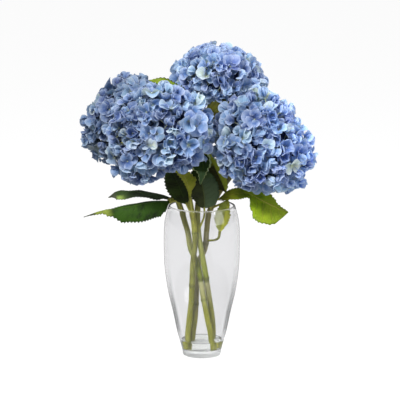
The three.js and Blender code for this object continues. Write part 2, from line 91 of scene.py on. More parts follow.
class Nodes:
    def __init__(self, tree):
        self.tree = tree

    def plug(self, socket, value):
        if isinstance(value, bpy.types.Node):
            value = value.outputs[0]
        if isinstance(value, bpy.types.NodeSocket):
            self.tree.links.new(value, socket)
        else:
            socket.default_value = value

    def add(self, kind, inputs=None, **settings):
        """A node with its settings made and its inputs, by name or by number, plugged in."""
        node = self.tree.nodes.new(kind)
        for key, value in settings.items():
            setattr(node, key, value)
        for key, value in (inputs or {}).items():
            self.plug(node.inputs[key], value)
        return node

    def maths(self, operation, *values):
        return self.add("ShaderNodeMath", dict(enumerate(values)), operation=operation).outputs[0]

    def times(self, first, second):
        return self.maths("MULTIPLY", first, second)

    def larger(self, first, second):
        return self.maths("MAXIMUM", first, second)

    def fade(self, value, start, end, low=0.0, high=1.0):
        """low up to start, high from end on, and a smooth step between them."""
        return self.add("ShaderNodeMapRange", {
            "Value": value, "From Min": start, "From Max": end, "To Min": low, "To Max": high},
            interpolation_type="SMOOTHSTEP").outputs["Result"]

    def blend(self, share, first, second):
        """The first colour with a share of the second."""
        return self.add("ShaderNodeMix", {"Factor": share, 6: first, 7: second}, data_type="RGBA").outputs[2]

    def layers(self, colour, coats):
        """A colour with coats over it, each a share and a colour, the last one on top."""
        for share, coat in coats:
            colour = self.blend(share, colour, srgb(*coat) if isinstance(coat, tuple) else coat)
        return colour

    def steps(self, value, steps):
        """A colour ramp through (place, colour) steps."""
        node = self.add("ShaderNodeValToRGB", {"Fac": value})
        ramp = node.color_ramp
        while len(ramp.elements) < len(steps):
            ramp.elements.new(0.5)
        for element, (place, colour) in zip(ramp.elements, steps):
            element.position = place
            element.color = srgb(*colour)
        return node.outputs["Color"]

    def place(self):
        """Where a point lies in the frame, in metres."""
        return self.add("ShaderNodeTexCoord").outputs["Object"]

    def height(self, place):
        return self.add("ShaderNodeSeparateXYZ", {0: place}).outputs["Z"]

    def map_place(self):
        """How far along a piece a point lies (0 to 1), how far across (-1 to 1) and off the middle."""
        uv = self.add("ShaderNodeUVMap", uv_map="along")
        split = self.add("ShaderNodeSeparateXYZ", {0: uv}).outputs
        across = self.maths("MULTIPLY_ADD", split["Y"], 2.0, -1.0)
        return split["X"], across, self.maths("ABSOLUTE", across)

    def noise(self, place, scale, detail):
        return self.add("ShaderNodeTexNoise", {
            "Vector": place, "Scale": scale, "Detail": detail}).outputs["Fac"]

    def value(self, name):
        """A named number that the mesh has at each corner."""
        return self.add("ShaderNodeAttribute", attribute_name=name).outputs["Fac"]

    def bump(self, height, strength, distance):
        return self.add("ShaderNodeBump", {"Height": height, "Strength": strength, "Distance": distance})

    def off_a_mirror(self):
        """1 for light that glass or another shiny finish mirrors, otherwise 0."""
        path = self.add("ShaderNodeLightPath").outputs
        return self.times(path["Is Glossy Ray"], path["Is Reflection Ray"])

    def mix(self, share, first, second):
        return self.add("ShaderNodeMixShader", {0: share, 1: first, 2: second})

    def finish(self, shader):
        self.add("ShaderNodeOutputMaterial", {"Surface": shader})

    def finish_thin(self, colour, share, inputs):
        """The finish of something thin that lets a share of the light through."""
        sheet = self.add("ShaderNodeBsdfPrincipled", {"Base Color": colour, **inputs})
        lit_through = self.add("ShaderNodeBsdfTranslucent", {"Color": colour})
        self.finish(self.mix(share, sheet, lit_through))


def new_finish(name):
    """An empty material and the tools for its nodes."""
    material = bpy.data.materials.new(name)
    material.use_nodes = True
    material.node_tree.nodes.clear()
    return material, Nodes(material.node_tree)


# %% [markdown]
# ## Floor, light and surroundings
#
# The setting is a white sweep. The floor is a pale sheet that also glows a little, as paper does
# on a light table, so that it stays white behind the glass. Clear glass shows only what it
# bends and reflects. The surroundings are white behind the vase and grey at both sides, and
# those grey sides draw the vase's edges. What the glass mirrors is darker still, as the side of
# the room that the camera stands in is, so that no white veil lies over the stems.

# %% White floor
FLOOR_HALF = 9.0
FLOOR_GLOW = 0.9
WHITE = (1, 1, 1, 1)
bpy.context.scene.view_settings.view_transform = "Standard"

floor_mesh = bpy.data.meshes.new("floor")
corner_signs = ((-1, -1), (1, -1), (1, 1), (-1, 1))
floor_mesh.from_pydata([(FLOOR_HALF * x, FLOOR_HALF * y, 0) for x, y in corner_signs], [], [(0, 1, 2, 3)])
floor = bpy.data.objects.new("floor", floor_mesh)
bpy.context.scene.collection.objects.link(floor)
floor_paper, nodes = new_finish("floor_paper")
mirrored = nodes.times(nodes.off_a_mirror(), 0.68)
scattered = nodes.times(nodes.add("ShaderNodeLightPath").outputs["Is Diffuse Ray"], 0.7)
painted_light = nodes.maths("SUBTRACT", FLOOR_GLOW, nodes.larger(mirrored, scattered))
paper = nodes.add("ShaderNodeBsdfDiffuse", {"Color": (0.16, 0.16, 0.16, 1)})
lit = nodes.add("ShaderNodeEmission", {"Color": WHITE, "Strength": painted_light})
nodes.finish(nodes.add("ShaderNodeAddShader", {0: paper, 1: lit}))
floor_mesh.materials.append(floor_paper)

# %% Soft studio light
ROOM_LIGHT = 0.38
MIRRORED_LOSS = 0.27  # how much darker the room is in a mirror
world = bpy.data.worlds.new("studio")
bpy.context.scene.world = world
world.use_nodes = True
world.node_tree.nodes.clear()
nodes = Nodes(world.node_tree)
direction = nodes.add("ShaderNodeTexCoord").outputs["Generated"]
split = nodes.add("ShaderNodeSeparateXYZ", {0: direction}).outputs
at_side = nodes.fade(nodes.maths("ABSOLUTE", split["X"]), 0.35, 0.9)
low_down = nodes.fade(split["Z"], 0.75, 0.2)
studio = nodes.blend(nodes.times(at_side, low_down), WHITE, (0.5, 0.51, 0.52, 1))
dim = nodes.maths("MULTIPLY_ADD", nodes.off_a_mirror(), -MIRRORED_LOSS, ROOM_LIGHT)
room = nodes.add("ShaderNodeBackground", {"Color": studio, "Strength": dim})
white = nodes.add("ShaderNodeBackground", {"Color": WHITE, "Strength": 1.0})
seen = nodes.add("ShaderNodeLightPath").outputs["Is Camera Ray"]
nodes.add("ShaderNodeOutputWorld", {"Surface": nodes.mix(seen, room, white)})


def softbox(name, place, size, power):
    """A square area light that looks at the flowers."""
    data = bpy.data.lights.new(name, "AREA")
    data.shape = "SQUARE"
    data.size = size
    data.energy = power
    lamp = bpy.data.objects.new(name, data)
    lamp.location = place
    lamp.rotation_euler = (AIM - Vector(place)).to_track_quat("-Z", "Y").to_euler()
    bpy.context.scene.collection.objects.link(lamp)


softbox("key_light", (-0.95, -1.5, 1.9), 0.55, 59)
softbox("fill_light", (1.9, -1.1, 1.1), 1.3, 18)
softbox("top_light", (0.1, 0.5, 2.2), 0.8, 14)

# %% [markdown]
# ## Small tools for meshes
#
# Stems, leaf ribs and the vase's side all follow smooth lines through a few given points. The
# curve used here is the centripetal Catmull-Rom curve, because it passes through every point and
# never loops, and the frame was made with it too. `new_piece` turns lists of corners and faces
# into an object with its own map and values for the finish to read.

# %% Helpers for meshes
def unit(v):
    return v / max(np.linalg.norm(v), 1e-12)


def run_along(points):
    """How far each point lies from the first one, measured along the line."""
    return np.concatenate([[0], np.cumsum(np.linalg.norm(np.diff(points, axis=0), axis=1))])


def curve_through(points, steps):
    """Evenly spaced points on a smooth curve through points in mm. They come out in metres."""
    FINE_STEPS = 24
    given = [np.array(p, float) for p in points]
    given = [2 * given[0] - given[1]] + given + [2 * given[-1] - given[-2]]
    fine = []
    for p0, p1, p2, p3 in zip(given, given[1:], given[2:], given[3:]):
        d0, d1, d2 = (max(np.linalg.norm(b - a), 1e-9) ** 0.5 for a, b in ((p0, p1), (p1, p2), (p2, p3)))
        out = ((p1 - p0) / d0 - (p2 - p0) / (d0 + d1) + (p2 - p1) / d1) * d1
        into = ((p2 - p1) / d1 - (p3 - p1) / (d1 + d2) + (p3 - p2) / d2) * d1
        for k in range(FINE_STEPS):
            s = k / FINE_STEPS
            fine.append((2 * s**3 - 3 * s**2 + 1) * p1 + (s**3 - 2 * s**2 + s) * out
                        + (3 * s**2 - 2 * s**3) * p2 + (s**3 - s**2) * into)
    fine = np.array(fine + [given[-2]])
    run = run_along(fine)
    even = np.linspace(0, run[-1], steps + 1)
    return np.stack([np.interp(even, run, column) for column in fine.T], axis=1) * MM


def give_values(mesh, name, numbers):
    """A named number for each corner, for the finish to read."""
    mesh.attributes.new(name, "FLOAT", "POINT").data.foreach_set("value", np.array(numbers, np.float32))


def new_piece(name, corners, faces, material, uv=None, values=None):
    """An object at the origin. uv has one (u, v) a corner; values has named numbers a corner."""
    mesh = bpy.data.meshes.new(name)
    mesh.from_pydata([tuple(c) for c in corners], [], [tuple(f) for f in faces])
    mesh.polygons.foreach_set("use_smooth", [True] * len(mesh.polygons))
    if uv is not None:
        layer = mesh.uv_layers.new(name="along")
        place = np.array(uv, np.float32)[[loop.vertex_index for loop in mesh.loops]]
        layer.data.foreach_set("uv", place.ravel())
    for key, numbers in (values or {}).items():
        give_values(mesh, key, numbers)
    mesh.materials.append(material)
    mesh.update()
    piece = bpy.data.objects.new(name, mesh)
    bpy.context.scene.collection.objects.link(piece)
    return piece


def stand_for(piece, node):
    """The piece takes the place of a node of the frame and moves with it."""
    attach(piece, "root")
    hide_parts(node)
    print(piece.name, "has", len(piece.data.polygons), "faces")


def ring_of(radius, height, turns, aside=0):
    """Points round the upright axis, moved aside along X."""
    return [(radius * math.cos(a) + aside, radius * math.sin(a), height) for a in turns]


def grid(rows, wide):
    """Faces (a, b, c, d) between rows of corners, with wide corners in a row."""
    starts = [k * wide + i for k in range(rows) for i in range(wide - 1)]
    return [(a, a + 1, a + wide + 1, a + wide) for a in starts]


def lathe(profile, segments):
    """Corners and faces of a profile of (radius, height) turned round the upright axis."""
    turns = [2 * math.pi * i / segments for i in range(segments)]
    corners, faces, rings = [], [], []
    for radius, height in profile:
        start = len(corners)
        if radius < 1e-6:
            rings.append([start] * segments)
            corners.append((0, 0, height))
        else:
            rings.append(list(range(start, start + segments)))
            corners += ring_of(radius, height, turns)
    for low, high in zip(rings, rings[1:]):
        for i in range(segments):
            j = (i + 1) % segments
            around = [low[i], low[j], high[j], high[i]]
            faces.append([c for k, c in enumerate(around) if c not in around[:k]])
    return corners, faces


# %% [markdown]
# ## The glass vase
#
# The vase is blown glass: a narrow, thick foot, a belly that swells towards the shoulder and a
# thin, melted rim. It is turned from one closed profile that runs up the outside, over the rim
# and down the inside, because glass needs both of its surfaces: light bends at each of them. The
# glass floor is much thicker than the wall, and its corner is round.

# %% Glass profile
VASE_HEIGHT = 250 * MM
WALL = 3.2 * MM
GLASS_FLOOR = 11 * MM
FLOOR_CORNER = 5 * MM
SIDE = [(30.8, 4), (34.2, 18), (39.7, 37), (47.3, 73), (55.4, 108), (60.8, 146), (62.1, 175),
        (60.9, 222), (54.5, 250)]
side_line = curve_through(SIDE, 72)


def outside_radius(height):
    """Radius of the vase's outside at a height, both in metres."""
    return float(np.interp(height, side_line[:, 1], side_line[:, 0]))


def arc(centre, radius, start, end, steps):
    """Points of a rounded corner, from one angle to another in degrees."""
    turns = np.radians(np.linspace(start, end, steps))
    return [(centre[0] + radius * math.cos(a), centre[1] + radius * math.sin(a)) for a in turns]


def inside_line(top, spare):
    """The vase's inside from the middle of its floor up to a height, spare metres further in."""
    wall = WALL + spare
    floor_height = GLASS_FLOOR + spare
    bend_top = floor_height + FLOOR_CORNER
    middle = outside_radius(bend_top) - wall - FLOOR_CORNER
    heights = [h for h in side_line[:, 1] if bend_top + 1 * MM < h < top - 0.5 * MM]
    return ([(0, floor_height), (middle * 0.5, floor_height)]
            + arc((middle, bend_top), FLOOR_CORNER, -90, 0, 7)
            + [(outside_radius(h) - wall, h) for h in heights + [top]])


rim_middle = outside_radius(VASE_HEIGHT) - WALL / 2
rim_height = VASE_HEIGHT - WALL / 2
foot = [(0, 1.2 * MM), (18 * MM, 0.9 * MM), (24 * MM, 0), (28 * MM, 0)]
foot += arc((28.1 * MM, 2.9 * MM), 2.9 * MM, -80, -12, 6)
outside = [(r, h) for r, h in side_line if 5 * MM < h < rim_height - 1 * MM]
rim = arc((rim_middle, rim_height), WALL / 2, 0, 180, 9)
inside = inside_line(rim_height - 1 * MM, 0)[::-1]
glass_corners, glass_faces = lathe(foot + outside + rim + inside, 224)
print("glass profile:", len(foot + outside + rim + inside), "points")

# %% [markdown]
# Clear glass is a Principled shader with full transmission. Lamps reach the stems inside because
# the shader turns plainly transparent for shadow rays, which real glass almost is. The colour is
# a breath of grey, as both walls together darken the white behind them a little. Where the sides
# turn away low down, the glass is seen edge on, and there its colour is painted nearly black, a
# painted dark reflection. The foot and the rim have a slight haze, which keeps their many small
# reflections calm.

# %% Clear glass
def clear_finish(name, colour, bend, rough):
    """Clear glass or water, whose index of refraction is bend."""
    material, nodes = new_finish(name)
    body = nodes.add("ShaderNodeBsdfPrincipled", {
        "Base Color": colour, "Roughness": rough, "IOR": bend, "Transmission Weight": 1.0})
    through = nodes.add("ShaderNodeBsdfTransparent", {"Color": (0.96, 0.97, 0.97, 1)})
    in_shadow = nodes.add("ShaderNodeLightPath").outputs["Is Shadow Ray"]
    nodes.finish(nodes.mix(in_shadow, body, through))
    return material, nodes, body


clear_glass, nodes, body = clear_finish("clear_glass", (0.93, 0.935, 0.94, 1), 1.45, 0.0)
place = nodes.place()
height = nodes.height(place)
grazing = nodes.add("ShaderNodeLayerWeight", {"Blend": 0.5}).outputs["Facing"]
low_down = nodes.times(nodes.fade(height, 0.15, 0.07, 0.04, 1.0), nodes.fade(height, 0.015, 0.05))
# painted dark reflection: the lower sides turn nearly black where the glass is seen edge on
painted_dark_edge = nodes.times(nodes.fade(grazing, 0.5, 0.74), low_down)
above_foot = nodes.fade(height, 0.006, 0.016)
wall_colour = nodes.blend(above_foot, (0.95, 0.95, 0.955, 1), (0.872, 0.872, 0.88, 1))
with_rim = nodes.blend(nodes.fade(height, 0.242, 0.248), wall_colour, (0.97, 0.97, 0.975, 1))
nodes.plug(body.inputs["Base Color"], nodes.blend(painted_dark_edge, with_rim, (0.06, 0.065, 0.065, 1)))
streaks = nodes.fade(nodes.noise(place, 9.0, 1.0), 0.3, 0.7, 0.0, 0.02)
foot_haze = nodes.fade(height, 0.011, 0.006, 0.0, 0.35)
rim_haze = nodes.fade(height, 0.246, 0.2485, 0.0, 0.25)
haze = nodes.maths("ADD", streaks, nodes.maths("ADD", foot_haze, rim_haze))
nodes.plug(body.inputs["Roughness"], haze)
stand_for(new_piece("glass_vase", glass_corners, glass_faces, clear_glass), "vase")

# %% [markdown]
# ## The water
#
# There are only fifteen millimetres of water. It climbs the glass in a small curve, the meniscus,
# and that curve is what shows the water line. The water reaches a hair's breadth into the glass,
# so that no film of air lies between them: such a film would turn the sides into mirrors. It is
# a little rough, as water is that has stood with stems in it.

# %% Water with its meniscus
WATER_TOP = 26 * MM
CLIMB = 0.8 * MM  # how far the meniscus rises at the glass
wet_line = inside_line(WATER_TOP + CLIMB, -0.1 * MM)
edge = wet_line[-1][0]
surface_line = [(edge - s * MM, WATER_TOP + CLIMB * math.exp(-s / 1.6)) for s in (0.5, 1, 1.7, 2.6, 4, 6, 9)]
surface_line += [(edge * 0.5, WATER_TOP), (0, WATER_TOP)]
water_corners, water_faces = lathe(wet_line + surface_line, 96)
clear_water, nodes, body = clear_finish("clear_water", (0.97, 0.985, 0.96, 1), 1.33, 0.12)
swell = nodes.noise(nodes.place(), 30.0, 1.0)
nodes.plug(body.inputs["Normal"], nodes.bump(swell, 0.05, 0.004))
stand_for(new_piece("water_body", water_corners, water_faces, clear_water), "water")

# %% [markdown]
# ## The stems
#
# Each stem is a green stalk about nine millimetres thick that stands on the glass floor, leans
# across its neighbours and ends in its head. Where leaves were taken off, a swollen joint and a
# thin scar ring are left. The leaf stalks grow out of the stems. All of them are tubes with a
# radius that changes along the way, swept along the same lines that the frame uses.
#
# A head is a dome, and its swells push that dome out or in on some side. Each swell is a
# direction, a share of the size and a width in degrees.

# %% Lines of the heads and stems
HEADS = {
    "left": dict(centre=(-121, 76, 382), axis=(-0.65, 0.3, 0.7), radius=77, seed=11,
        swells=[((-0.22, 0, -0.97), 0.5, 24), ((-0.65, 0.1, -0.75), 0.08, 24),
        ((-0.9, 0, -0.4), -0.05, 20), ((-0.75, 0.1, 0.65), -0.05, 26), ((0.7, 0, 0.7), -0.12, 30)]),
    "front": dict(centre=(-66, -60, 379), axis=(-0.1, -0.93, 0.35), radius=81, seed=23,
        swells=[((0.1, -0.4, -0.92), -0.28, 30), ((0.5, -0.3, -0.82), -0.14, 26),
        ((-0.6, -0.2, -0.8), 0.24, 24), ((0.08, 0.37, 0.93), -0.14, 30)]),
    "top": dict(centre=(30, 68, 446), axis=(0.21, 0, 0.978), radius=77, seed=37,
        swells=[((-0.98, 0, -0.1), 0.07, 24), ((-0.7, 0, 0.7), -0.12, 26), ((0.38, 0, 0.92), -0.16, 30),
        ((0.9, 0, 0.35), -0.07, 25)]),
    "right": dict(centre=(101, -43, 361), axis=(0.3, -0.9, 0.3), radius=84, seed=53,
        swells=[((0.76, 0.3, 0.56), -0.3, 34), ((0.95, 0.3, 0), -0.06, 26), ((0.68, 0, -0.73), 0.1, 15),
        ((0.15, -0.3, -0.95), -0.08, 22), ((-0.75, 0.47, 0.47), 0.1, 24)]),
}
DOME_RISE = 56
DOME_UNDERSIDE = 29
NECK = 22  # the last straight bit of a stem below its head
STEM_IN_HEAD = 13
STEM_STEPS = 110
STEM_LINES = {
    "left": [(17, -13, 11.3), (14, -11, 40), (9, -8, 64), (2, -4, 101), (-5, 0, 142), (-9, 1, 157),
        (-18, 3, 176), (-23, 6, 204), (-28, 10, 220), (-34, 14, 240), (-50, 29, 280), (-70, 46, 318)],
    "front": [(-21, -6, 11.3), (-23, -5, 28), (-20, -5, 63), (-17, -7, 93), (-15, -11, 141),
        (-13, -13, 170), (-11, -14, 186), (-13, -14, 223), (-16, -12, 239), (-22, -8, 269),
        (-34, 0, 309), (-47, 10, 340)],
    "top": [(17, 14, 11.3), (19, 15, 30), (17, 10, 61), (9, 0, 116), (5, -6, 143), (0, -9, 172),
        (-5, -7, 202), (-7, -3, 239), (-3, 6, 275), (3, 20, 310), (12, 42, 356)],
    "right": [(-16, 7, 11.3), (-15, 6, 30), (-11, 5, 63), (-9, 6, 100), (-9, 9, 124), (-5, 11, 153),
        (5, 11, 175), (8, 9, 204), (12, 9, 235), (28, 14, 268), (52, 22, 300), (73, 22, 328)],
}

stem_paths = {}
for name, line in STEM_LINES.items():
    centre = np.array(HEADS[name]["centre"], float)
    axis = unit(np.array(HEADS[name]["axis"], float))
    ends = [centre - axis * depth for depth in (DOME_UNDERSIDE + NECK, DOME_UNDERSIDE - STEM_IN_HEAD)]
    stem_paths[name] = curve_through(line + ends, STEM_STEPS)
print("stem lengths, mm:", {name: round(run_along(path)[-1] / MM) for name, path in stem_paths.items()})

# %% Tube along a path
def tube(path, radii, sides):
    """Corners, faces and (round, along) values of a tube whose radius changes along its path."""
    along = np.gradient(path, axis=0)
    across = unit(np.cross(along[0], (0.31, 0.9, 0.2)))
    corners, faces, uv = [], [], []
    for middle, direction, run, radius in zip(path, along, run_along(path), radii):
        forward = unit(direction)
        across = unit(across - forward * np.dot(across, forward))
        up = np.cross(forward, across)
        for i in range(sides):
            turn = 2 * math.pi * i / sides
            corners.append(middle + radius * (math.cos(turn) * across + math.sin(turn) * up))
            uv.append((i / sides, run))
    for k in range(len(path) - 1):
        for i in range(sides):
            a, b = k * sides + i, k * sides + (i + 1) % sides
            faces.append((a, b, b + sides, a + sides))
    last = (len(path) - 1) * sides
    faces.append(tuple(reversed(range(sides))))
    faces.append(tuple(range(last, last + sides)))
    return corners, faces, uv


class Heap:
    """Collects several parts into one mesh. A part that lacks a named value has 0 for it."""

    def __init__(self):
        self.corners, self.faces, self.uv, self.values = [], [], [], {}

    def put(self, corners, faces, uv, **values):
        start = len(self.corners)
        self.corners += list(corners)
        self.faces += [[start + c for c in f] for f in faces]
        self.uv += list(uv)
        for key, number in values.items():
            numbers = self.values.setdefault(key, [0.0] * start)
            numbers += list(number) if np.ndim(number) else [number] * len(corners)
        for key, numbers in self.values.items():
            numbers += [0.0] * (len(self.corners) - len(numbers))


# %% [markdown]
# ## Leaves: the same blades as in the frame, with finer edges
#
# A hydrangea leaf is a broad oval with saw teeth, a strong midrib and side veins that curve
# towards the tip. The frame's leaves have a few large teeth; these have many small ones along
# the same rib, width and fold. The blade is a closed skin, so its paler underside has a finish
# of its own, told apart by a value named `under`.
#
# For each leaf the table says: the stem that it grows on and how high, the line of its rib, which
# way it faces at its base and at its tip, its half width, how it folds, waves and is toothed, and
# which green it has. An `outline` lists how far along, left width and right width, all as shares.
# A plain oval has `widest` instead, the share of its length where it is widest.

# %% Lines of the leaves
LEAVES = {
    "leaf_left_low": dict(stem="left", root=229, rib=[(-52, -6, 258), (-82, -26, 260), (-112, -40, 256),
        (-143, -47, 252), (-166, -50, 248), (-191, -50, 240)], face=[(0, -0.5, 0.85), (0, -0.8, 0.6)],
        half=24, outline=[(0, 0.12, 0.1), (0.1, 0.68, 0.4), (0.17, 0.94, 0.45), (0.4, 1, 0.45),
        (0.58, 0.88, 0.4), (0.72, 0.4, 0.2), (0.8, 0.15, 0.1), (1, 0.03, 0.03)], fold=-0.7, wave=1,
        teeth=29, green="deep"),
    "leaf_left_high": dict(stem="left", root=238, rib=[(-49, 6, 260), (-68, 0, 267), (-93, -8, 272),
        (-120, -12, 274), (-140, -13, 272), (-152, -13, 265)], face=[(0, -0.3, 1), (0, -0.3, 1)], half=17,
        outline=[(0, 0.12, 0.12), (0.12, 0.5, 0.6), (0.25, 0.85, 0.8), (0.4, 0.7, 1), (0.55, 0.75, 1),
        (0.75, 1, 0.9), (0.88, 0.9, 0.65), (0.95, 0.3, 0.2), (1, 0.04, 0.04)], fold=-0.3, wave=1,
        teeth=21, green="deep"),
    "leaf_mid_left": dict(stem="front", root=226, rib=[(-25, -20, 256), (-33, -16, 273), (-41, -12, 291),
        (-48, -10, 310), (-54, -4, 329)], face=[(-0.1, -1, 0.2), (-0.1, -1, 0.4)], half=21, widest=0.42,
        fold=0.15, wave=1.5, teeth=15, green="deep"),
    "leaf_folded": dict(stem="front", root=215, rib=[(-19, -33, 268), (-21, -36, 284), (-28, -36, 304),
        (-39, -34, 326)], face=[(0.3, -1, 0), (0.1, -1, 0.3)], half=19, outline=[(0, 0.1, 0.1),
        (0.15, 0.14, 0.25), (0.3, 0.2, 0.8), (0.42, 0.26, 1), (0.56, 0.36, 0.78), (0.72, 0.5, 0.55),
        (0.88, 0.55, 0.45), (1, 0.15, 0.15)], fold=-0.4, wave=1, teeth=12, green="fresh"),
    "leaf_centre": dict(stem="top", root=208, rib=[(4, -15, 248), (4, -20, 267), (1, -22, 285),
        (-2, -20, 302), (-3, -13, 320)], face=[(0, -1, 0.1), (0, -1, 0.35)], half=27,
        outline=[(0, 0.14, 0.14), (0.05, 0.4, 0.5), (0.12, 0.52, 0.72), (0.3, 0.8, 0.95), (0.48, 1, 1),
        (0.68, 0.86, 0.86), (0.84, 0.56, 0.56), (0.94, 0.26, 0.26), (1, 0.04, 0.04)], fold=0.1, wave=1.5,
        teeth=14, green="deep"),
    "leaf_centre_right": dict(stem="right", root=244, rib=[(39, 3, 271), (34, -1, 285), (27, -3, 301),
        (18, -5, 320), (9, -5, 341)], face=[(-0.2, -1, 0.2), (-0.3, -1, 0.3)], half=14,
        outline=[(0, 0.12, 0.12), (0.14, 0.7, 0.6), (0.35, 1, 0.86), (0.6, 0.85, 0.82), (0.82, 0.6, 0.6),
        (0.94, 0.3, 0.35), (1, 0.05, 0.05)], fold=0.3, wave=1, teeth=15, green="fresh"),
    "leaf_curled": dict(stem="front", root=300, rib=[(-11, -15, 331), (-3, -25, 334), (2, -34, 326),
        (2, -40, 312), (-1, -43, 300), (-2, -44, 292)], face=[(-0.2, -1, 0.3), (-0.2, -1, 0.3)], half=24,
        outline=[(0, 0.12, 0.12), (0.2, 0.42, 0.5), (0.35, 0.68, 0.85), (0.5, 0.62, 1), (0.6, 0.42, 0.85),
        (0.7, 0.3, 0.45), (0.8, 0.22, 0.25), (0.9, 0.14, 0.15), (1, 0.04, 0.04)], fold=0.25, wave=0.4,
        teeth=12, green="deep"),
    "leaf_right": dict(stem="right", root=240, rib=[(29, -8, 262), (51, -16, 271), (74, -20, 273),
        (95, -26, 264), (116, -33, 255), (140, -38, 245)], face=[(0, -0.5, 0.85), (0.2, -0.85, 0.5)],
        half=38, outline=[(0, 0.1, 0.1), (0.1, 0.28, 0.3), (0.3, 0.34, 0.38), (0.45, 0.36, 0.3),
        (0.57, 0.55, 0.75), (0.65, 0.5, 1.05), (0.74, 0.38, 1.12), (0.84, 0.18, 1), (0.91, 0.1, 0.8),
        (0.95, 0.08, 0.45), (1, 0.03, 0.03)], fold=0.1, wave=2, teeth=24, green="fresh"),
    "leaf_neck": dict(stem="right", root=190, rib=[(29, -6, 206), (32, -9, 219), (36, -11, 233),
        (40, -10, 247), (43, -8, 259)], face=[(-0.2, -1, 0.1), (0, -1, 0)], half=16,
        outline=[(0, 0.1, 0.1), (0.15, 0.6, 0.4), (0.35, 1, 0.65), (0.55, 1, 0.68), (0.75, 0.85, 0.45),
        (0.9, 0.6, 0.3), (1, 0.1, 0.1)], fold=-0.3, wave=0.5, teeth=11, green="fresh"),
    "leaf_behind_left": dict(stem="top", root=372, rib=[(0, 38, 400), (-20, 20, 416), (-43, 5, 438),
        (-63, 6, 451), (-86, 10, 454)], face=[(0.2, -0.7, 0.6), (0.3, -0.7, 0.6)], half=15, widest=0.5,
        fold=0.12, wave=1.5, teeth=22, green="fresh"),
    "leaf_behind_right": dict(stem="top", root=342, rib=[(12, 28, 370), (13, 18, 390), (21, 7, 405),
        (42, -2, 414), (66, -2, 419), (90, 1, 426)], face=[(0.2, -1, 0.2), (0, -0.8, 0.6)], half=15,
        widest=0.4, fold=0.12, wave=1, teeth=22, green="deep"),
    "leaf_behind_edge": dict(stem="right", root=318, rib=[(82, 40, 338), (102, 52, 350), (126, 56, 372),
        (146, 46, 396)], face=[(0, -0.7, 0.7), (0.3, -0.9, 0.2)], half=19, widest=0.45, fold=0.12, wave=1,
        teeth=18, green="deep"),
    "leaf_back": dict(stem="top", root=246, rib=[(4, 34, 268), (10, 60, 282), (15, 90, 284),
        (18, 116, 272)], face=[(0, 0, 1), (0, 0.4, 0.9)], half=24, widest=0.42, fold=0.15, wave=1.5,
        teeth=17, green="deep"),
}
print("leaves:", len(LEAVES))

# %% [markdown]
# The stems on the left and at the top were stripped in their lower part. Their fresh skin ends
# above that, and the wood below it is bare and paler. The values `skin`, `bare`, `age` and `ring`
# tell the finish where that is, how old a stem looks and where its scars are.

# %% Stem with its joints and leaf stalks
STEM_RADIUS = 4.6
STEM_SIDES = 18
STEM_JOINTS = {"left": [93], "front": [118, 206], "top": [131], "right": [84, 186]}
JOINT_SWELL = 0.9
AGE_HEIGHTS = (60, 100, 125, 200)
STEM_AGE = {"left": (0, 0, 0, 0.7), "front": (0, 0, 0, 0.1), "top": (0.1, 0.1, 0.1, 0.55),
    "right": (0.25, 0.8, 0.85, 0.8)}
STRIPPED = ("left", "top")
SKIN_FROM = 124
BARE_BELOW = 45  # how far below the skin the bare wood fades out
STALK_THICK = {"leaf_left_low": 1.7, "leaf_left_high": 0.3, "leaf_neck": 0.5, "leaf_folded": 0.5}


def at_height(path, height):
    """The number of the point of a path that lies nearest to a height in mm."""
    return int(np.argmin(np.abs(path[:, 2] - height * MM)))


def leaf_stalk(path, name, leaf):
    """The stalk from the stem to a leaf's base, thick where it leaves the stem."""
    root = path[at_height(path, leaf["root"])] / MM
    base, after = (np.array(p, float) for p in leaf["rib"][:2])
    along = unit(after - base)
    before = base - along * 0.35 * np.linalg.norm(base - root)
    line = curve_through([root, before, base + along * 2], 18)
    share = np.linspace(0, 1, len(line))
    radii = (1.45 + 1.5 * np.exp(-share * 7) + 0.25 * share) * MM
    radii *= 1 + STALK_THICK.get(name, 0) * share**2
    return tube(line, radii, 10)


def build_stem(name):
    path = stem_paths[name]
    run = run_along(path) / MM
    radii = STEM_RADIUS + (0.12 * np.sin(run / 17) + 0.08 * np.sin(run / 7.3 + 1))
    ring = np.zeros(len(path))
    for height in STEM_JOINTS[name]:
        from_joint = run - run[at_height(path, height)]
        radii += JOINT_SWELL * np.exp(-(from_joint / 2.4) ** 2)
        ring += np.exp(-(from_joint / 1.6) ** 2)
    heights = path[:, 2] / MM
    stripped = name in STRIPPED
    age = np.interp(heights, AGE_HEIGHTS, STEM_AGE[name])
    skin = np.interp(heights, (SKIN_FROM - 1, SKIN_FROM + 1), (0, 1)) * stripped
    bare = np.interp(heights, (SKIN_FROM - BARE_BELOW, SKIN_FROM), (0, 1)) * (1 - skin) * stripped
    looks = {"ring": ring.clip(0, 1), "age": age, "skin": skin, "bare": bare}
    heap = Heap()
    heap.put(*tube(path, radii * MM, STEM_SIDES),
             **{key: np.repeat(numbers, STEM_SIDES) for key, numbers in looks.items()})
    for leaf_name, leaf in LEAVES.items():
        if leaf["stem"] == name:
            heap.put(*leaf_stalk(path, leaf_name, leaf))
    return heap
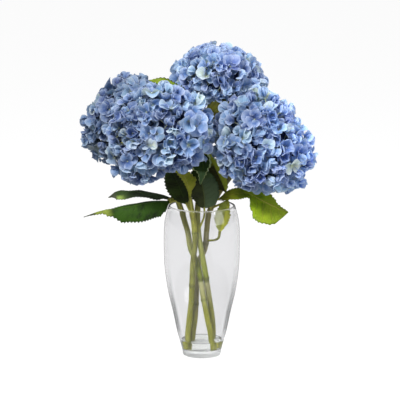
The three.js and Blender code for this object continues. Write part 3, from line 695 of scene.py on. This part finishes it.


# %% [markdown]
# Fresh stalks are yellow-green and hardly shine. The green changes with the height. It is darkest
# in the middle of the vase, where that darkness is painted shade for the stems shading each other,
# and lightest near the heads, partly as painted light. Over it lie fine lengthwise streaks, pale
# patches, the bare wood, the fresh skin, the grey-brown of age and the dark scar rings.

# %% Green stalk finish
green_stalk, nodes = new_finish("green_stalk")
place = nodes.place()
height = nodes.height(place)
# green by height: painted shade mid-vase, partly painted light near the heads
green_and_shade_by_height = nodes.steps(nodes.fade(height, 0.0, 0.34), [
    (0.0, (128, 128, 38)), (0.3, (106, 108, 36)), (0.38, (76, 80, 16)), (0.56, (84, 86, 18)),
    (0.64, (116, 118, 36)), (0.7, (160, 160, 70)), (1.0, (172, 170, 84))])
stretched = nodes.add("ShaderNodeMapping", {"Vector": place, "Scale": (1, 1, 0.08)})
streaks = nodes.noise(stretched, 420.0, 3.0)
patches = nodes.noise(place, 38.0, 2.0)
skin_end = nodes.fade(height, (SKIN_FROM + 14) * MM, SKIN_FROM * MM)
skin_green = nodes.blend(skin_end, srgb(124, 136, 24), srgb(72, 80, 16))
coloured = nodes.layers(green_and_shade_by_height, [
    (nodes.fade(streaks, 0.4, 0.66, 0, 0.5), (84, 88, 36)),
    (nodes.fade(patches, 0.45, 0.75, 0, 0.35), (158, 158, 82)),
    (nodes.times(nodes.value("bare"), 0.8), (160, 158, 118)),
    (nodes.times(nodes.value("skin"), 0.85), skin_green),
    (nodes.times(nodes.value("age"), 0.85), (136, 128, 98)),
    (nodes.times(nodes.value("ring"), 0.65), (70, 76, 30)),
])
nodes.finish(nodes.add("ShaderNodeBsdfPrincipled", {
    "Base Color": coloured, "Roughness": 0.5, "Specular IOR Level": 0.15,
    "Normal": nodes.bump(streaks, 0.35, 0.0008)}))

# %% [markdown]
# Just below its head the stem splits into thinner and thinner branches that carry the florets.
# From the back and from below they show between the petals, so each stem gets a spray of them.

# %% Branches under a head
BRANCHES = 15
BRANCH_TURN = 2.4  # radians from one branch to the next


def head_turn(head):
    """The rotation that turns the upright axis onto a head's axis."""
    return Vector((0, 0, 1)).rotation_difference(Vector(head["axis"]).normalized())


def in_head(head, point):
    """Where a point of a head's own frame lies, in mm, once the head's swells have pushed it."""
    turned = head_turn(head) @ Vector(point)
    size = 1.0
    for towards, by, width in head["swells"]:
        angle = math.degrees(turned.angle(Vector(towards), 0))
        size += by * math.exp(-((angle / width) ** 2))
    return Vector(head["centre"]) + turned * size


def branches(head):
    """Thin tubes from the neck of a head to places spread below its petals."""
    rng = random.Random(head["seed"] + 5)
    for i in range(BRANCHES):
        reach = head["radius"] * (0.45 + 0.4 * ((i * 7) % BRANCHES) / BRANCHES)
        lift = DOME_RISE * 0.55 * (1 - (reach / head["radius"]) ** 2) - 6
        start = Vector((0, 0, -DOME_UNDERSIDE - 12 + 10 * rng.random()))
        tip = Vector((reach * math.cos(BRANCH_TURN * i), reach * math.sin(BRANCH_TURN * i), lift))
        bend = start.lerp(tip, 0.45) + Vector((0, 0, 6 + 4 * rng.random()))
        path = curve_through([in_head(head, p) for p in (start, bend, tip)], 8)
        yield tube(path, np.linspace(2.0, 1.0, len(path)) * MM, 7)


for name in STEM_LINES:
    heap = build_stem(name)
    for part in branches(HEADS[name]):
        heap.put(*part)
    piece = new_piece("stalk_" + name, heap.corners, heap.faces, green_stalk, heap.uv, heap.values)
    stand_for(piece, "stem_" + name)

# %% [markdown]
# A blade is built in rows across its rib, three rows a tooth, and each row runs from one edge
# over the rib to the other. It folds along the rib, waves a little and is thinnest at its edge.

# %% Leaf blade
ROW_DEPTHS = (0.0, 0.45, 1.0)  # how far each row of a tooth stands out
ROWS_A_TOOTH = len(ROW_DEPTHS)
ACROSS = 12
LEAF_THICK = 0.75
TOOTH = 2.2
LEAST_WIDE = (1.6, 0.35)  # at the base and at the tip


def half_widths(t, leaf):
    """The widths of the blade's two sides at t, from the base to the tip."""
    if "widest" in leaf:
        power = math.log(0.5) / math.log(leaf["widest"])
        share = max(math.sin(math.pi * t**power), 0) ** 0.85
        return leaf["half"] * share, leaf["half"] * share
    places = leaf["outline"]
    above = next(i for i in range(1, len(places)) if places[i][0] >= t - 1e-9)
    low, high = places[above - 1], places[above]
    share = (t - low[0]) / (high[0] - low[0])
    share = share * share * (3 - 2 * share)
    return tuple(leaf["half"] * (low[side] + (high[side] - low[side]) * share) for side in (1, 2))


def build_leaf(leaf):
    rows = leaf["teeth"] * ROWS_A_TOOTH
    rib = curve_through(leaf["rib"], rows) / MM
    along = np.gradient(rib, axis=0)
    at_base, at_tip = (unit(np.array(f, float)) for f in leaf["face"])
    top, low, uv = [], [], []
    for k in range(rows + 1):
        t = k / rows
        forward = unit(along[k])
        across = unit(np.cross(forward, at_base * (1 - t) + at_tip * t))
        normal = unit(np.cross(across, forward))
        least = LEAST_WIDE[0] + (LEAST_WIDE[1] - LEAST_WIDE[0]) * t
        row = k % ROWS_A_TOOTH
        depth = TOOTH * math.sin(math.pi * min(max(t, 0.02), 0.98)) ** 0.5
        sides = [max(least, wide - min(depth, 0.35 * wide) * (1 - ROW_DEPTHS[row]))
                 for wide in half_widths(t, leaf)]
        for i in range(ACROSS + 1):
            s = 2 * i / ACROSS - 1
            broad = sides[0] if s < 0 else sides[1]
            wave = s * s * leaf["wave"] * math.sin(5 * math.pi * t + s) * math.sin(math.pi * t)
            ripple = 0.5 * s * s * math.sin(23 * t + 2 * s) * math.sin(math.pi * t)
            lift = leaf["fold"] * broad * (0.55 * abs(s) + 0.45 * s * s) + wave + ripple
            lean = forward * (row / ROWS_A_TOOTH - 0.3) * 0.8 * abs(s) ** 6
            middle = rib[k] + across * s * broad + normal * lift + lean
            thin = LEAF_THICK * (0.5 if abs(s) < 0.99 else 0.2)
            top.append((middle + normal * thin) * MM)
            low.append((middle - normal * thin) * MM)
            uv.append((t, 0.5 + 0.5 * s))
    count = len(top)
    wide = ACROSS + 1
    faces = []
    for a, b, c, d in grid(rows, wide):
        faces.append((a, b, c, d))
        faces.append((count + a, count + d, count + c, count + b))
    edge = list(range(wide)) + [k * wide + ACROSS for k in range(1, rows + 1)]
    edge += [rows * wide + i for i in range(ACROSS - 1, -1, -1)] + [k * wide for k in range(rows - 1, 0, -1)]
    for a, b in zip(edge, edge[1:] + edge[:1]):
        faces.append((b, a, count + a, count + b))
    return top + low, faces, uv + uv, {"under": [0.0] * count + [1.0] * count}


# %% [markdown]
# The vein pattern is computed from the leaf's own map: along the rib from 0 to 1, and across it
# from -1 to 1 with the rib at 0. Side veins are lines of equal `along minus a bit of across`, so
# they leave the rib at a slant. They are slightly paler than the blade and pressed into it.

# %% Veins of a leaf
SIDE_VEINS = 9.0
SMALL_VEINS = 4.0  # for each side vein


def zigzag(nodes, value):
    """1 at every whole number of a value, 0 halfway between, and straight in between."""
    return nodes.maths("ABSOLUTE", nodes.maths("MULTIPLY_ADD", nodes.maths("FRACT", value), 2.0, -1.0))


def leaf_veins(nodes, t, side, wobble):
    """How much of a rib is at a place, how near a side vein is, and how much of any side vein."""
    row = nodes.maths("MULTIPLY_ADD", nodes.maths("POWER", side, 1.35), -1.5, nodes.times(t, SIDE_VEINS))
    near_vein = zigzag(nodes, nodes.maths("MULTIPLY_ADD", wobble, 0.4, row))
    side_vein = nodes.fade(near_vein, 0.84, 0.97)
    small_vein = nodes.times(nodes.fade(zigzag(nodes, nodes.times(row, SMALL_VEINS)), 0.7, 1.0), 0.3)
    return nodes.fade(side, 0.06, 0.015), near_vein, nodes.larger(side_vein, small_vein)


# %% Leaf finish
DRY_TIP = (74, 76, 62)


def leaf_finish(name, look):
    """look has six colours, and says how strong each coat over the blade is and where it starts."""
    material, nodes = new_finish(name)
    t, across, side = nodes.map_place()
    place = nodes.place()
    patches = nodes.noise(place, 55.0, 3.0)
    fine = nodes.noise(place, 420.0, 2.0)
    rib, near_vein, side_veins = leaf_veins(nodes, t, side, patches)
    all_veins = nodes.larger(rib, side_veins)
    near_tip = nodes.fade(nodes.maths("ABSOLUTE", nodes.maths("SUBTRACT", t, 0.83)), 0.13, 0.02)
    # painted highlight: a pale patch near the tip, on one edge of the blade
    painted_edge_highlight = nodes.times(nodes.fade(across, -0.3, -0.8, 0, look["turned"]), near_tip)
    underside = nodes.layers(srgb(*look["under"]), [(nodes.times(all_veins, 0.5), look["vein"])])
    colour = nodes.layers(srgb(*look["dark"]), [
        (nodes.fade(patches, 0.36, 0.62), look["light"]),
        (nodes.fade(near_vein, 0.75, 0.2, 0, 0.3), look["light"]),
        (nodes.fade(fine, 0.4, 0.7, 0, 0.35), look["light"]),
        (nodes.fade(t, look["base_to"], 0.0, 0, look["base"]), look["base_colour"]),
        # painted light: one half of the blade, across the rib, gets the paler underside colour
        (nodes.fade(across, -0.1, 0.15, 0, look["side"]), look["under"]),
        (nodes.fade(t, look["tip_from"], look["tip_from"] + 0.1, 0, look["tips"]), look["tip"]),
        (painted_edge_highlight, look["under"]),
        (nodes.fade(t, 0.84, 0.9, 0, look["drip"]), DRY_TIP),
        (nodes.fade(side, look["rim_from"], look["rim_from"] + 0.09, 0, look["rims"]), look["rim"]),
        (nodes.times(rib, look["ribs"]), look["vein"]),
        (nodes.times(side_veins, look["veins"]), look["vein"]),
        (nodes.value("under"), underside),
    ])
    quilt = nodes.maths("MULTIPLY_ADD", fine, 0.35, nodes.times(all_veins, -1.0))
    relief = nodes.bump(quilt, 0.8, 0.0008)
    nodes.finish_thin(colour, 0.12, {"Roughness": 0.52, "Specular IOR Level": 0.22, "Normal": relief})
    return material


# %% [markdown]
# No two leaves of the bunch have the same green. Leaves in the light are yellow-green and the
# others nearly black-green, and those greens are partly painted light and shade. The two on the
# left end in a dry, drawn-out tip, and one of those has a painted pale highlight near the tip, on
# its edge. A few leaves have one half of the blade painted lighter, as painted light. So each leaf
# names its own colours and coats. What it doesn't name comes from one of two common greens and
# from the common look.

# %% Colours of the leaves
COMMON_LOOK = dict(base=0, base_to=0.25, base_colour=(74, 58, 26), side=0, turned=0, tips=0.5,
    tip_from=0.62, drip=0, rims=0.3, rim_from=0.9, ribs=0.4, veins=0.16)
DEEP = dict(dark=(24, 44, 12), light=(48, 82, 16), vein=(92, 124, 44), under=(70, 92, 56),
            tip=(60, 92, 24), rim=(34, 60, 16))
FRESH = dict(dark=(94, 122, 18), light=(146, 168, 34), vein=(188, 186, 84), under=(150, 164, 78),
             tip=(142, 158, 40), rim=(92, 110, 26))
# In these looks, side paints one half of a blade lighter and turned paints a pale patch near the tip: both
# are painted light.
LEAF_LOOKS = {
    "leaf_left_low": dict(dark=(26, 46, 10), light=(52, 88, 14), tip=(156, 172, 74), tips=0.95,
        tip_from=0.66, drip=0.95, rims=0.5, ribs=0.3, veins=0.1),
    "leaf_left_high": dict(dark=(30, 42, 26), light=(58, 76, 44), tip=(70, 92, 46), drip=0.9,
        under=(150, 176, 84), turned=0.95),
    "leaf_mid_left": dict(dark=(38, 42, 22), light=(58, 78, 26), ribs=0.15),
    "leaf_folded": dict(dark=(146, 156, 40), light=(186, 190, 66), vein=(216, 208, 124),
        tip=(170, 180, 60), rim=(206, 202, 110), rims=0.7),
    "leaf_centre": dict(dark=(44, 50, 26), light=(62, 72, 32), under=(92, 114, 82), side=0.8,
        vein=(110, 122, 64), veins=0.08),
    "leaf_centre_right": dict(dark=(52, 54, 18), light=(70, 70, 24), under=(190, 204, 66), side=0.95,
        tip=(176, 190, 56), rim=(92, 106, 26)),
    "leaf_curled": dict(dark=(28, 48, 12), light=(48, 76, 20), tip=(110, 144, 92), tips=0.95,
        rim=(206, 222, 156), rims=0.95, rim_from=0.74, under=(120, 150, 96)),
    "leaf_right": dict(dark=(102, 136, 14), light=(156, 186, 30), base=0.6, base_to=0.5,
        base_colour=(150, 130, 50), vein=(194, 186, 80), rims=0.5, ribs=0.7, veins=0.25),
    "leaf_neck": dict(dark=(138, 146, 70), light=(178, 186, 104), under=(206, 208, 76), side=0.85,
        rim=(140, 146, 34), vein=(140, 140, 40)),
    "leaf_behind_left": dict(dark=(70, 98, 16), light=(104, 132, 22), rim=(34, 50, 22), rims=0.9,
        rim_from=0.8),
    "leaf_behind_right": dict(dark=(56, 58, 18), light=(92, 92, 28)),
}

# %% Leaf pieces
GREENS = {"deep": DEEP, "fresh": FRESH}
for name, leaf in LEAVES.items():
    look = {**COMMON_LOOK, **GREENS[leaf["green"]], **LEAF_LOOKS.get(name, {})}
    corners, faces, uv, values = build_leaf(leaf)
    finish = leaf_finish(name + "_green", look)
    piece = new_piece(name.replace("leaf", "blade"), corners, faces, finish, uv, values)
    stand_for(piece, name)

# %% [markdown]
# ## One floret
#
# What looks like a flower's four petals are sepals: broad, rounded, slightly cupped sheets round
# a tiny pale centre. Every second one lies on top of its neighbours. A floret is made once as a
# light mesh, in a few kinds from wide open to half closed, and every kind is used again and
# again. A petal's cross lines are bowed up at the sides, and its long line bends as it grows.

# %% One petal
PETAL_LINES = [  # how far along, half width, how far its sides lie back, all as shares
    (0, 0.12, 0), (0.25, 0.64, 0), (0.5, 0.94, 0.02), (0.7, 0.98, 0.06), (0.87, 0.84, 0.09), (1, 0.5, 0.07)]
PETAL_ACROSS = 4
PETAL_START = 0.6


def petal(length, width, lean, curl, cup, ruffle, twist, pointed, rng):
    """A petal that grows along +X from the centre. lean, curl and twist are in degrees."""
    corners, uv = [], []
    x, z = PETAL_START, 0.0
    lean_here = math.radians(lean)
    phase = rng.uniform(0, 6.28)
    before = 0
    for t, half, back in PETAL_LINES:
        step = t - before
        before = t
        lean_here += math.radians(curl) * step
        x += length * step * math.cos(lean_here)
        z += length * step * math.sin(lean_here)
        broad = width * half * (1 - pointed * t ** 4)
        roll = math.radians(twist) * (0.3 + 0.7 * t)
        for i in range(PETAL_ACROSS + 1):
            s = 2 * i / PETAL_ACROSS - 1
            wave = ruffle * math.sin(3 * s + phase + 4 * t) * t
            high = cup * s * s * broad + wave + s * broad * math.sin(roll)
            flat = x - back * length * s * s
            corners.append((flat - high * math.sin(lean_here), s * broad * math.cos(roll),
                            z + high * math.cos(lean_here)))
            uv.append((t, 0.5 + 0.5 * s))
    return corners, [(a, d, c, b) for a, b, c, d in grid(len(PETAL_LINES) - 1, PETAL_ACROSS + 1)], uv


# %% One floret
FIVE_TURNS = (0, 1.26, 2.51, 3.77, 5.03)
THREE_TURNS = (0, 2.1, 4.2)
OVERLAP = 0.5  # how far every second petal lies above its neighbours


def build_floret(name, openness, curl, cup, size, material, rng):
    """Four petals, a bead in the middle and a short stalk behind, facing +Z at the origin."""
    heap = Heap()
    for k in range(4):
        length = size * rng.uniform(0.9, 1.12)
        width = size * rng.uniform(0.5, 0.66)
        corners, faces, uv = petal(
            length, width, openness + rng.uniform(-22, 22), curl + rng.uniform(-26, 26),
            cup * rng.uniform(0.6, 1.4), 0.04 * size, rng.uniform(-30, 30), rng.uniform(0, 0.6), rng)
        turn = math.radians(90 * k + rng.uniform(-12, 12))
        lift = OVERLAP * (k % 2)
        turned = [(x * math.cos(turn) - y * math.sin(turn), x * math.sin(turn) + y * math.cos(turn), z + lift)
                  for x, y, z in corners]
        heap.put(turned, faces, uv, tone=rng.random(), middle=0.0)
    bead = [(0, 0, 2.6)] + ring_of(1.3, 1.2, FIVE_TURNS) + ring_of(0.5, -1, FIVE_TURNS)
    fan = [(0, 1 + i, 1 + (i + 1) % 5) for i in range(5)]
    fan += [(1 + i, 6 + i, 6 + (i + 1) % 5, 1 + (i + 1) % 5) for i in range(5)]
    heap.put(bead, fan, [(0, 0.5)] * len(bead), tone=0.5, middle=1.0)
    rod = ring_of(0.75, 0, THREE_TURNS) + ring_of(0.75, -9, THREE_TURNS, 1) + ring_of(0.75, -18, THREE_TURNS)
    sides = [(k * 3 + i, k * 3 + 3 + i, k * 3 + 3 + (i + 1) % 3, k * 3 + (i + 1) % 3)
             for k in range(2) for i in range(3)]
    heap.put(rod, sides, [(0, 0.5)] * len(rod), tone=0.5, middle=1.0)
    corners = [tuple(MM * c for c in corner) for corner in heap.corners]
    return new_piece(name, corners, heap.faces, material, heap.uv, heap.values)


# %% [markdown]
# Petals are thin and soft. Whole petals vary, from nearly violet to the few that stayed
# green-white. Over that colour lie violet clouds, a deep throat that is partly painted shade where
# the petals meet, a pale rim with a nearly white last edge that is partly painted highlight, a
# greenish base, and faint veins that fan out from it. Petals far inside a head get painted shade.
# A value at each corner paints light and shade onto a head by making its blue lighter or darker,
# and `richer` makes it stronger.
# Some light comes through the petals from behind.

# %% Petal finish
petal_blue, nodes = new_finish("petal_blue")
t, across, side = nodes.map_place()
tint = nodes.value("tint")
place = nodes.place()
cloud = nodes.noise(place, 26.0, 2.0)
grain = nodes.noise(place, 260.0, 2.0)
mixed = nodes.maths("ADD", nodes.times(nodes.value("tone"), 0.3), nodes.times(tint, 0.7))
blues = nodes.steps(mixed, [
    (0.0, (56, 82, 142)), (0.28, (80, 116, 178)), (0.55, (112, 152, 200)),
    (0.78, (150, 188, 214)), (0.9, (206, 222, 210)), (1.0, (214, 222, 176))])
side_rim = nodes.times(nodes.fade(side, 0.3, 1.0), nodes.fade(t, 0.1, 0.5))
soft_rim = nodes.larger(nodes.fade(t, 0.4, 1.0), side_rim)
last_edge = nodes.larger(nodes.fade(side, 0.88, 1.0), nodes.fade(t, 0.92, 1.0))
base = nodes.times(nodes.fade(t, 0.3, 0.04), nodes.fade(tint, 0.3, 0.9, 0.12, 0.8))
fan_lines = nodes.maths("SINE", nodes.times(across, nodes.maths("MULTIPLY_ADD", t, -10.0, 26.0)))
veins = nodes.times(nodes.fade(fan_lines, 0.55, 1.0, 0, 0.2), nodes.fade(side, 0.95, 0.6))
layered = nodes.layers(blues, [
    (nodes.fade(cloud, 0.45, 0.75, 0, 0.45), (108, 120, 194)),
    # a deep throat, partly painted shade where the petals meet
    (nodes.fade(t, 0.55, 0.1, 0, 0.5), (50, 74, 132)),
    # a pale rim and a nearly white last edge, partly painted highlight
    (nodes.times(soft_rim, 0.55), (206, 222, 244)),
    (nodes.times(last_edge, 0.4), (236, 242, 250)),
    (base, (196, 208, 176)),
    (veins, (72, 92, 168)),
    (nodes.fade(grain, 0.4, 0.8, 0, 0.16), (232, 236, 246)),
    (nodes.value("middle"), (196, 206, 160)),
    # painted shade: petals far inside a head turn navy
    (nodes.fade(nodes.value("out"), 0.96, 0.6, 0, 0.8), (44, 58, 100)),
])
# painted light and shade: each head's blue is made lighter or darker
scaled = nodes.add("ShaderNodeVectorMath", {0: layered, "Scale": nodes.value("painted_light")}, operation="SCALE")
petal_colour = nodes.add("ShaderNodeGamma", {"Color": scaled, "Gamma": nodes.value("richer")})
nodes.finish_thin(petal_colour, 0.3, {
    "Roughness": 0.62, "Normal": nodes.bump(fan_lines, 0.2, 0.0004),
    "Sheen Weight": 0.15, "Sheen Roughness": 0.5})

# %% Floret kinds
KINDS = [  # openness and curl in degrees, cup, petal length in mm
    (16, 26, 0.4, 19), (34, 30, 0.55, 18.5), (50, 16, 0.6, 18.5), (44, -50, 0.3, 20),
    (62, 34, 0.7, 17), (58, -60, 0.35, 20), (70, 10, 0.7, 17), (24, 50, 0.55, 19),
    (78, -30, 0.5, 18), (38, -80, 0.4, 19),
]
rng = random.Random(4)
floret_kinds = bpy.data.collections.new("floret_kinds")
for number, (openness, curl, cup, size) in enumerate(KINDS):
    kind = build_floret("floret_" + str(number), openness, curl, cup, size, petal_blue, rng)
    bpy.context.scene.collection.objects.unlink(kind)
    floret_kinds.objects.link(kind)

# %% [markdown]
# ## Florets over a head
#
# A mophead is a dome packed with florets that all face outwards. Geometry Nodes scatter them: a
# dome mesh gives the surface, points keep a least distance from each other, and each point gets
# a floret of a random kind, moved in or out a little, turned about its stalk, tipped and scaled.
# A second, smaller dome inside closes the gaps, as the deeper florets do on the real head.

# %% Geometry Nodes tree that scatters florets
FULL_TURN = 6.283
TREE_INPUTS = {"Dome": "Geometry", "Spacing": "Float", "Tip": "Float", "Smallest": "Float",
    "Largest": "Float", "Uneven": "Float", "Seed": "Int"}


def enabled(sockets, name):
    """The socket of that name that a node's settings have switched on."""
    return next(socket for socket in sockets if socket.name == name and socket.enabled)


def floret_tree(kinds, material):
    tree = bpy.data.node_groups.new("florets_over_a_dome", "GeometryNodeTree")
    for label, kind in TREE_INPUTS.items():
        tree.interface.new_socket(label, in_out="INPUT", socket_type="NodeSocket" + kind)
    tree.interface.new_socket("Florets", in_out="OUTPUT", socket_type="NodeSocketGeometry")
    nodes = Nodes(tree)
    given = nodes.add("NodeGroupInput").outputs
    spread = nodes.add("GeometryNodeDistributePointsOnFaces", {
        "Mesh": given["Dome"], "Distance Min": given["Spacing"], "Density Max": 30000.0,
        "Seed": given["Seed"]}, distribute_method="POISSON").outputs

    def chance(low, high, number, kind="FLOAT"):
        """A random number for each point. Every use has a number of its own."""
        own = nodes.add("FunctionNodeIntegerMath", {0: given["Seed"], 1: number}, operation="ADD")
        node = nodes.add("FunctionNodeRandomValue", {"Seed": own}, data_type=kind)
        nodes.plug(enabled(node.inputs, "Min"), low)
        nodes.plug(enabled(node.inputs, "Max"), high)
        return enabled(node.outputs, "Value")

    def either_way(limit, number):
        return chance(nodes.times(limit, -1.0), limit, number)

    def turned(rotation, axis, angle):
        turn = nodes.add("FunctionNodeAxisAngleToRotation", {"Axis": axis, "Angle": angle})
        return nodes.add("FunctionNodeRotateRotation", {
            "Rotation": rotation, "Rotate By": turn}, rotation_space="LOCAL")

    step = nodes.add("ShaderNodeVectorMath", {
        0: spread["Normal"], "Scale": either_way(given["Uneven"], 100)}, operation="SCALE")
    moved = nodes.add("GeometryNodeSetPosition", {"Geometry": spread["Points"], "Offset": step})
    spun = turned(spread["Rotation"], (0, 0, 1), chance(0.0, FULL_TURN, 101))
    tipped = turned(spun, (1, 0, 0), either_way(given["Tip"], 102))
    choice = nodes.add("GeometryNodeCollectionInfo", {
        "Collection": kinds, "Separate Children": True, "Reset Children": True})
    placed = nodes.add("GeometryNodeInstanceOnPoints", {
        "Points": moved, "Instance": choice, "Pick Instance": True,
        "Instance Index": chance(0, 99, 103, "INT"), "Rotation": tipped,
        "Scale": chance(given["Smallest"], given["Largest"], 104)})
    tinted = nodes.add("GeometryNodeStoreNamedAttribute", {
        "Geometry": placed, "Name": "tint"}, data_type="FLOAT", domain="INSTANCE")
    nodes.plug(enabled(tinted.inputs, "Value"), chance(0.0, 1.0, 105))
    real = nodes.add("GeometryNodeRealizeInstances", {"Geometry": tinted})
    finished = nodes.add("GeometryNodeSetMaterial", {"Geometry": real, "Material": material})
    nodes.add("NodeGroupOutput", {"Florets": finished})
    return tree


florets_over = floret_tree(floret_kinds, petal_blue)
inputs = {i.name: i.identifier for i in florets_over.interface.items_tree if i.in_out == "INPUT"}
print("tree inputs:", list(inputs))

# %% Dome of a head
DOME_STEPS = 24
DOME_SEGMENTS = 40


def dome(head, scale, lowest):
    """A dome on a shallow underside, with a hole below for the stem. lowest is a cosine."""
    profile = []
    for step in range(DOME_STEPS + 1):
        cosine = 1 - (1 - lowest) * step / DOME_STEPS
        rise = DOME_RISE if cosine > 0 else DOME_UNDERSIDE
        sine = math.sqrt(max(1 - cosine * cosine, 0))
        profile.append((head["radius"] * scale * sine, rise * scale * cosine))
    corners, faces = lathe(profile[::-1], DOME_SEGMENTS)
    return [in_head(head, c) * MM for c in corners], faces


def scatter(name, head, scale, lowest, settings):
    """Florets over one dome, as a plain mesh."""
    corners, faces = dome(head, scale, lowest)
    ground = new_piece(name, corners, faces, petal_blue)
    modifier = ground.modifiers.new("florets", "NODES")
    modifier.node_group = florets_over
    for label, value in settings.items():
        modifier[inputs[label]] = value
    bpy.context.view_layer.update()
    evaluated = ground.evaluated_get(bpy.context.evaluated_depsgraph_get())
    mesh = bpy.data.meshes.new_from_object(evaluated)
    mesh.name = name
    ground.modifiers.clear()
    old = ground.data
    ground.data = mesh
    bpy.data.meshes.remove(old)
    return ground


# %% [markdown]
# The heart of a head, behind all petals, is a tangle in deep shade. A closed, lumpy core stands
# for it, so that no light shines through the head; its dark blue is painted shade.
#
# The seeds were chosen so that no large gap faces the front. Each head's blue is made lighter or
# darker with painted light and shade, and the front head and the right one get painted light
# towards the right.

# %% Helpers for the heads
def dark_core(name, head, rng):
    corners, faces = dome(head, 0.62, -1.0)
    centre = Vector(head["centre"]) * MM
    lumpy = [centre + (c - centre) * rng.uniform(0.93, 1.07) for c in corners]
    return new_piece(name, lumpy, faces, petal_blue, [(0.5, 0.5)] * len(lumpy))


def shares_of_dome(head, points):
    """How far out points lie, in mm, as shares of the way from the head's centre to its dome."""
    from_centre = points - np.array(head["centre"])
    size = np.ones(len(points))
    for towards, by, width in head["swells"]:
        cosine = from_centre @ unit(np.array(towards, float)) / np.linalg.norm(from_centre, axis=1)
        angle = np.degrees(np.arccos(cosine.clip(-1, 1)))
        size += by * np.exp(-((angle / width) ** 2))
    own = from_centre @ np.array(head_turn(head).to_matrix())
    rise = np.where(own[:, 2] > 0, DOME_RISE, DOME_UNDERSIDE)
    return np.hypot(np.hypot(own[:, 0], own[:, 1]) / head["radius"], own[:, 2] / rise) / size


def join(pieces, name):
    bpy.ops.object.select_all(action="DESELECT")
    for piece in pieces:
        piece.select_set(True)
    bpy.context.view_layer.objects.active = pieces[0]
    bpy.ops.object.join()
    pieces[0].name = name
    pieces[0].data.name = name
    return pieces[0]


# %% Heads
FLORET_SEEDS = {"left": 21, "front": 63, "top": 47, "right": 93}
# Painted light and shade of each head, and painted light towards the right of two heads
HEAD_PAINTED_LIGHT = {"left": 0.8, "front": 1.07, "top": 1.14, "right": 1.22}
HEAD_RICHER = {"left": 1.18, "front": 1.07, "top": 1.05, "right": 1.06}
RIGHT_SIDE_PAINTED_LIGHT = {"left": 0.0, "front": 0.12, "top": 0.0, "right": 0.32}
OUTER = {"Spacing": 0.0125, "Tip": 0.85, "Smallest": 0.7, "Largest": 1.07, "Uneven": 0.006}
INNER = {"Spacing": 0.0165, "Tip": 0.6, "Smallest": 0.75, "Largest": 0.95, "Uneven": 0.003}

for name, head in HEADS.items():
    seed = FLORET_SEEDS[name]
    lowest = -0.98 if name == "top" else -0.95
    outer = scatter("outer_" + name, head, 0.89, lowest, {**OUTER, "Seed": seed})
    inner = scatter("inner_" + name, head, 0.72, -0.85, {**INNER, "Seed": seed + 1})
    core = dark_core("core_" + name, head, random.Random(head["seed"]))
    bloom = join([outer, inner, core], "mophead_" + name)
    points = np.empty(len(bloom.data.vertices) * 3)
    bloom.data.vertices.foreach_get("co", points)
    points = points.reshape(-1, 3) / MM
    to_the_right = (points[:, 0] - head["centre"][0]) / head["radius"]
    give_values(bloom.data, "out", shares_of_dome(head, points))
    give_values(bloom.data, "painted_light", HEAD_PAINTED_LIGHT[name] * (1 + RIGHT_SIDE_PAINTED_LIGHT[name] * to_the_right))
    give_values(bloom.data, "richer", [HEAD_RICHER[name]] * len(points))
    stand_for(bloom, "bloom_" + name)
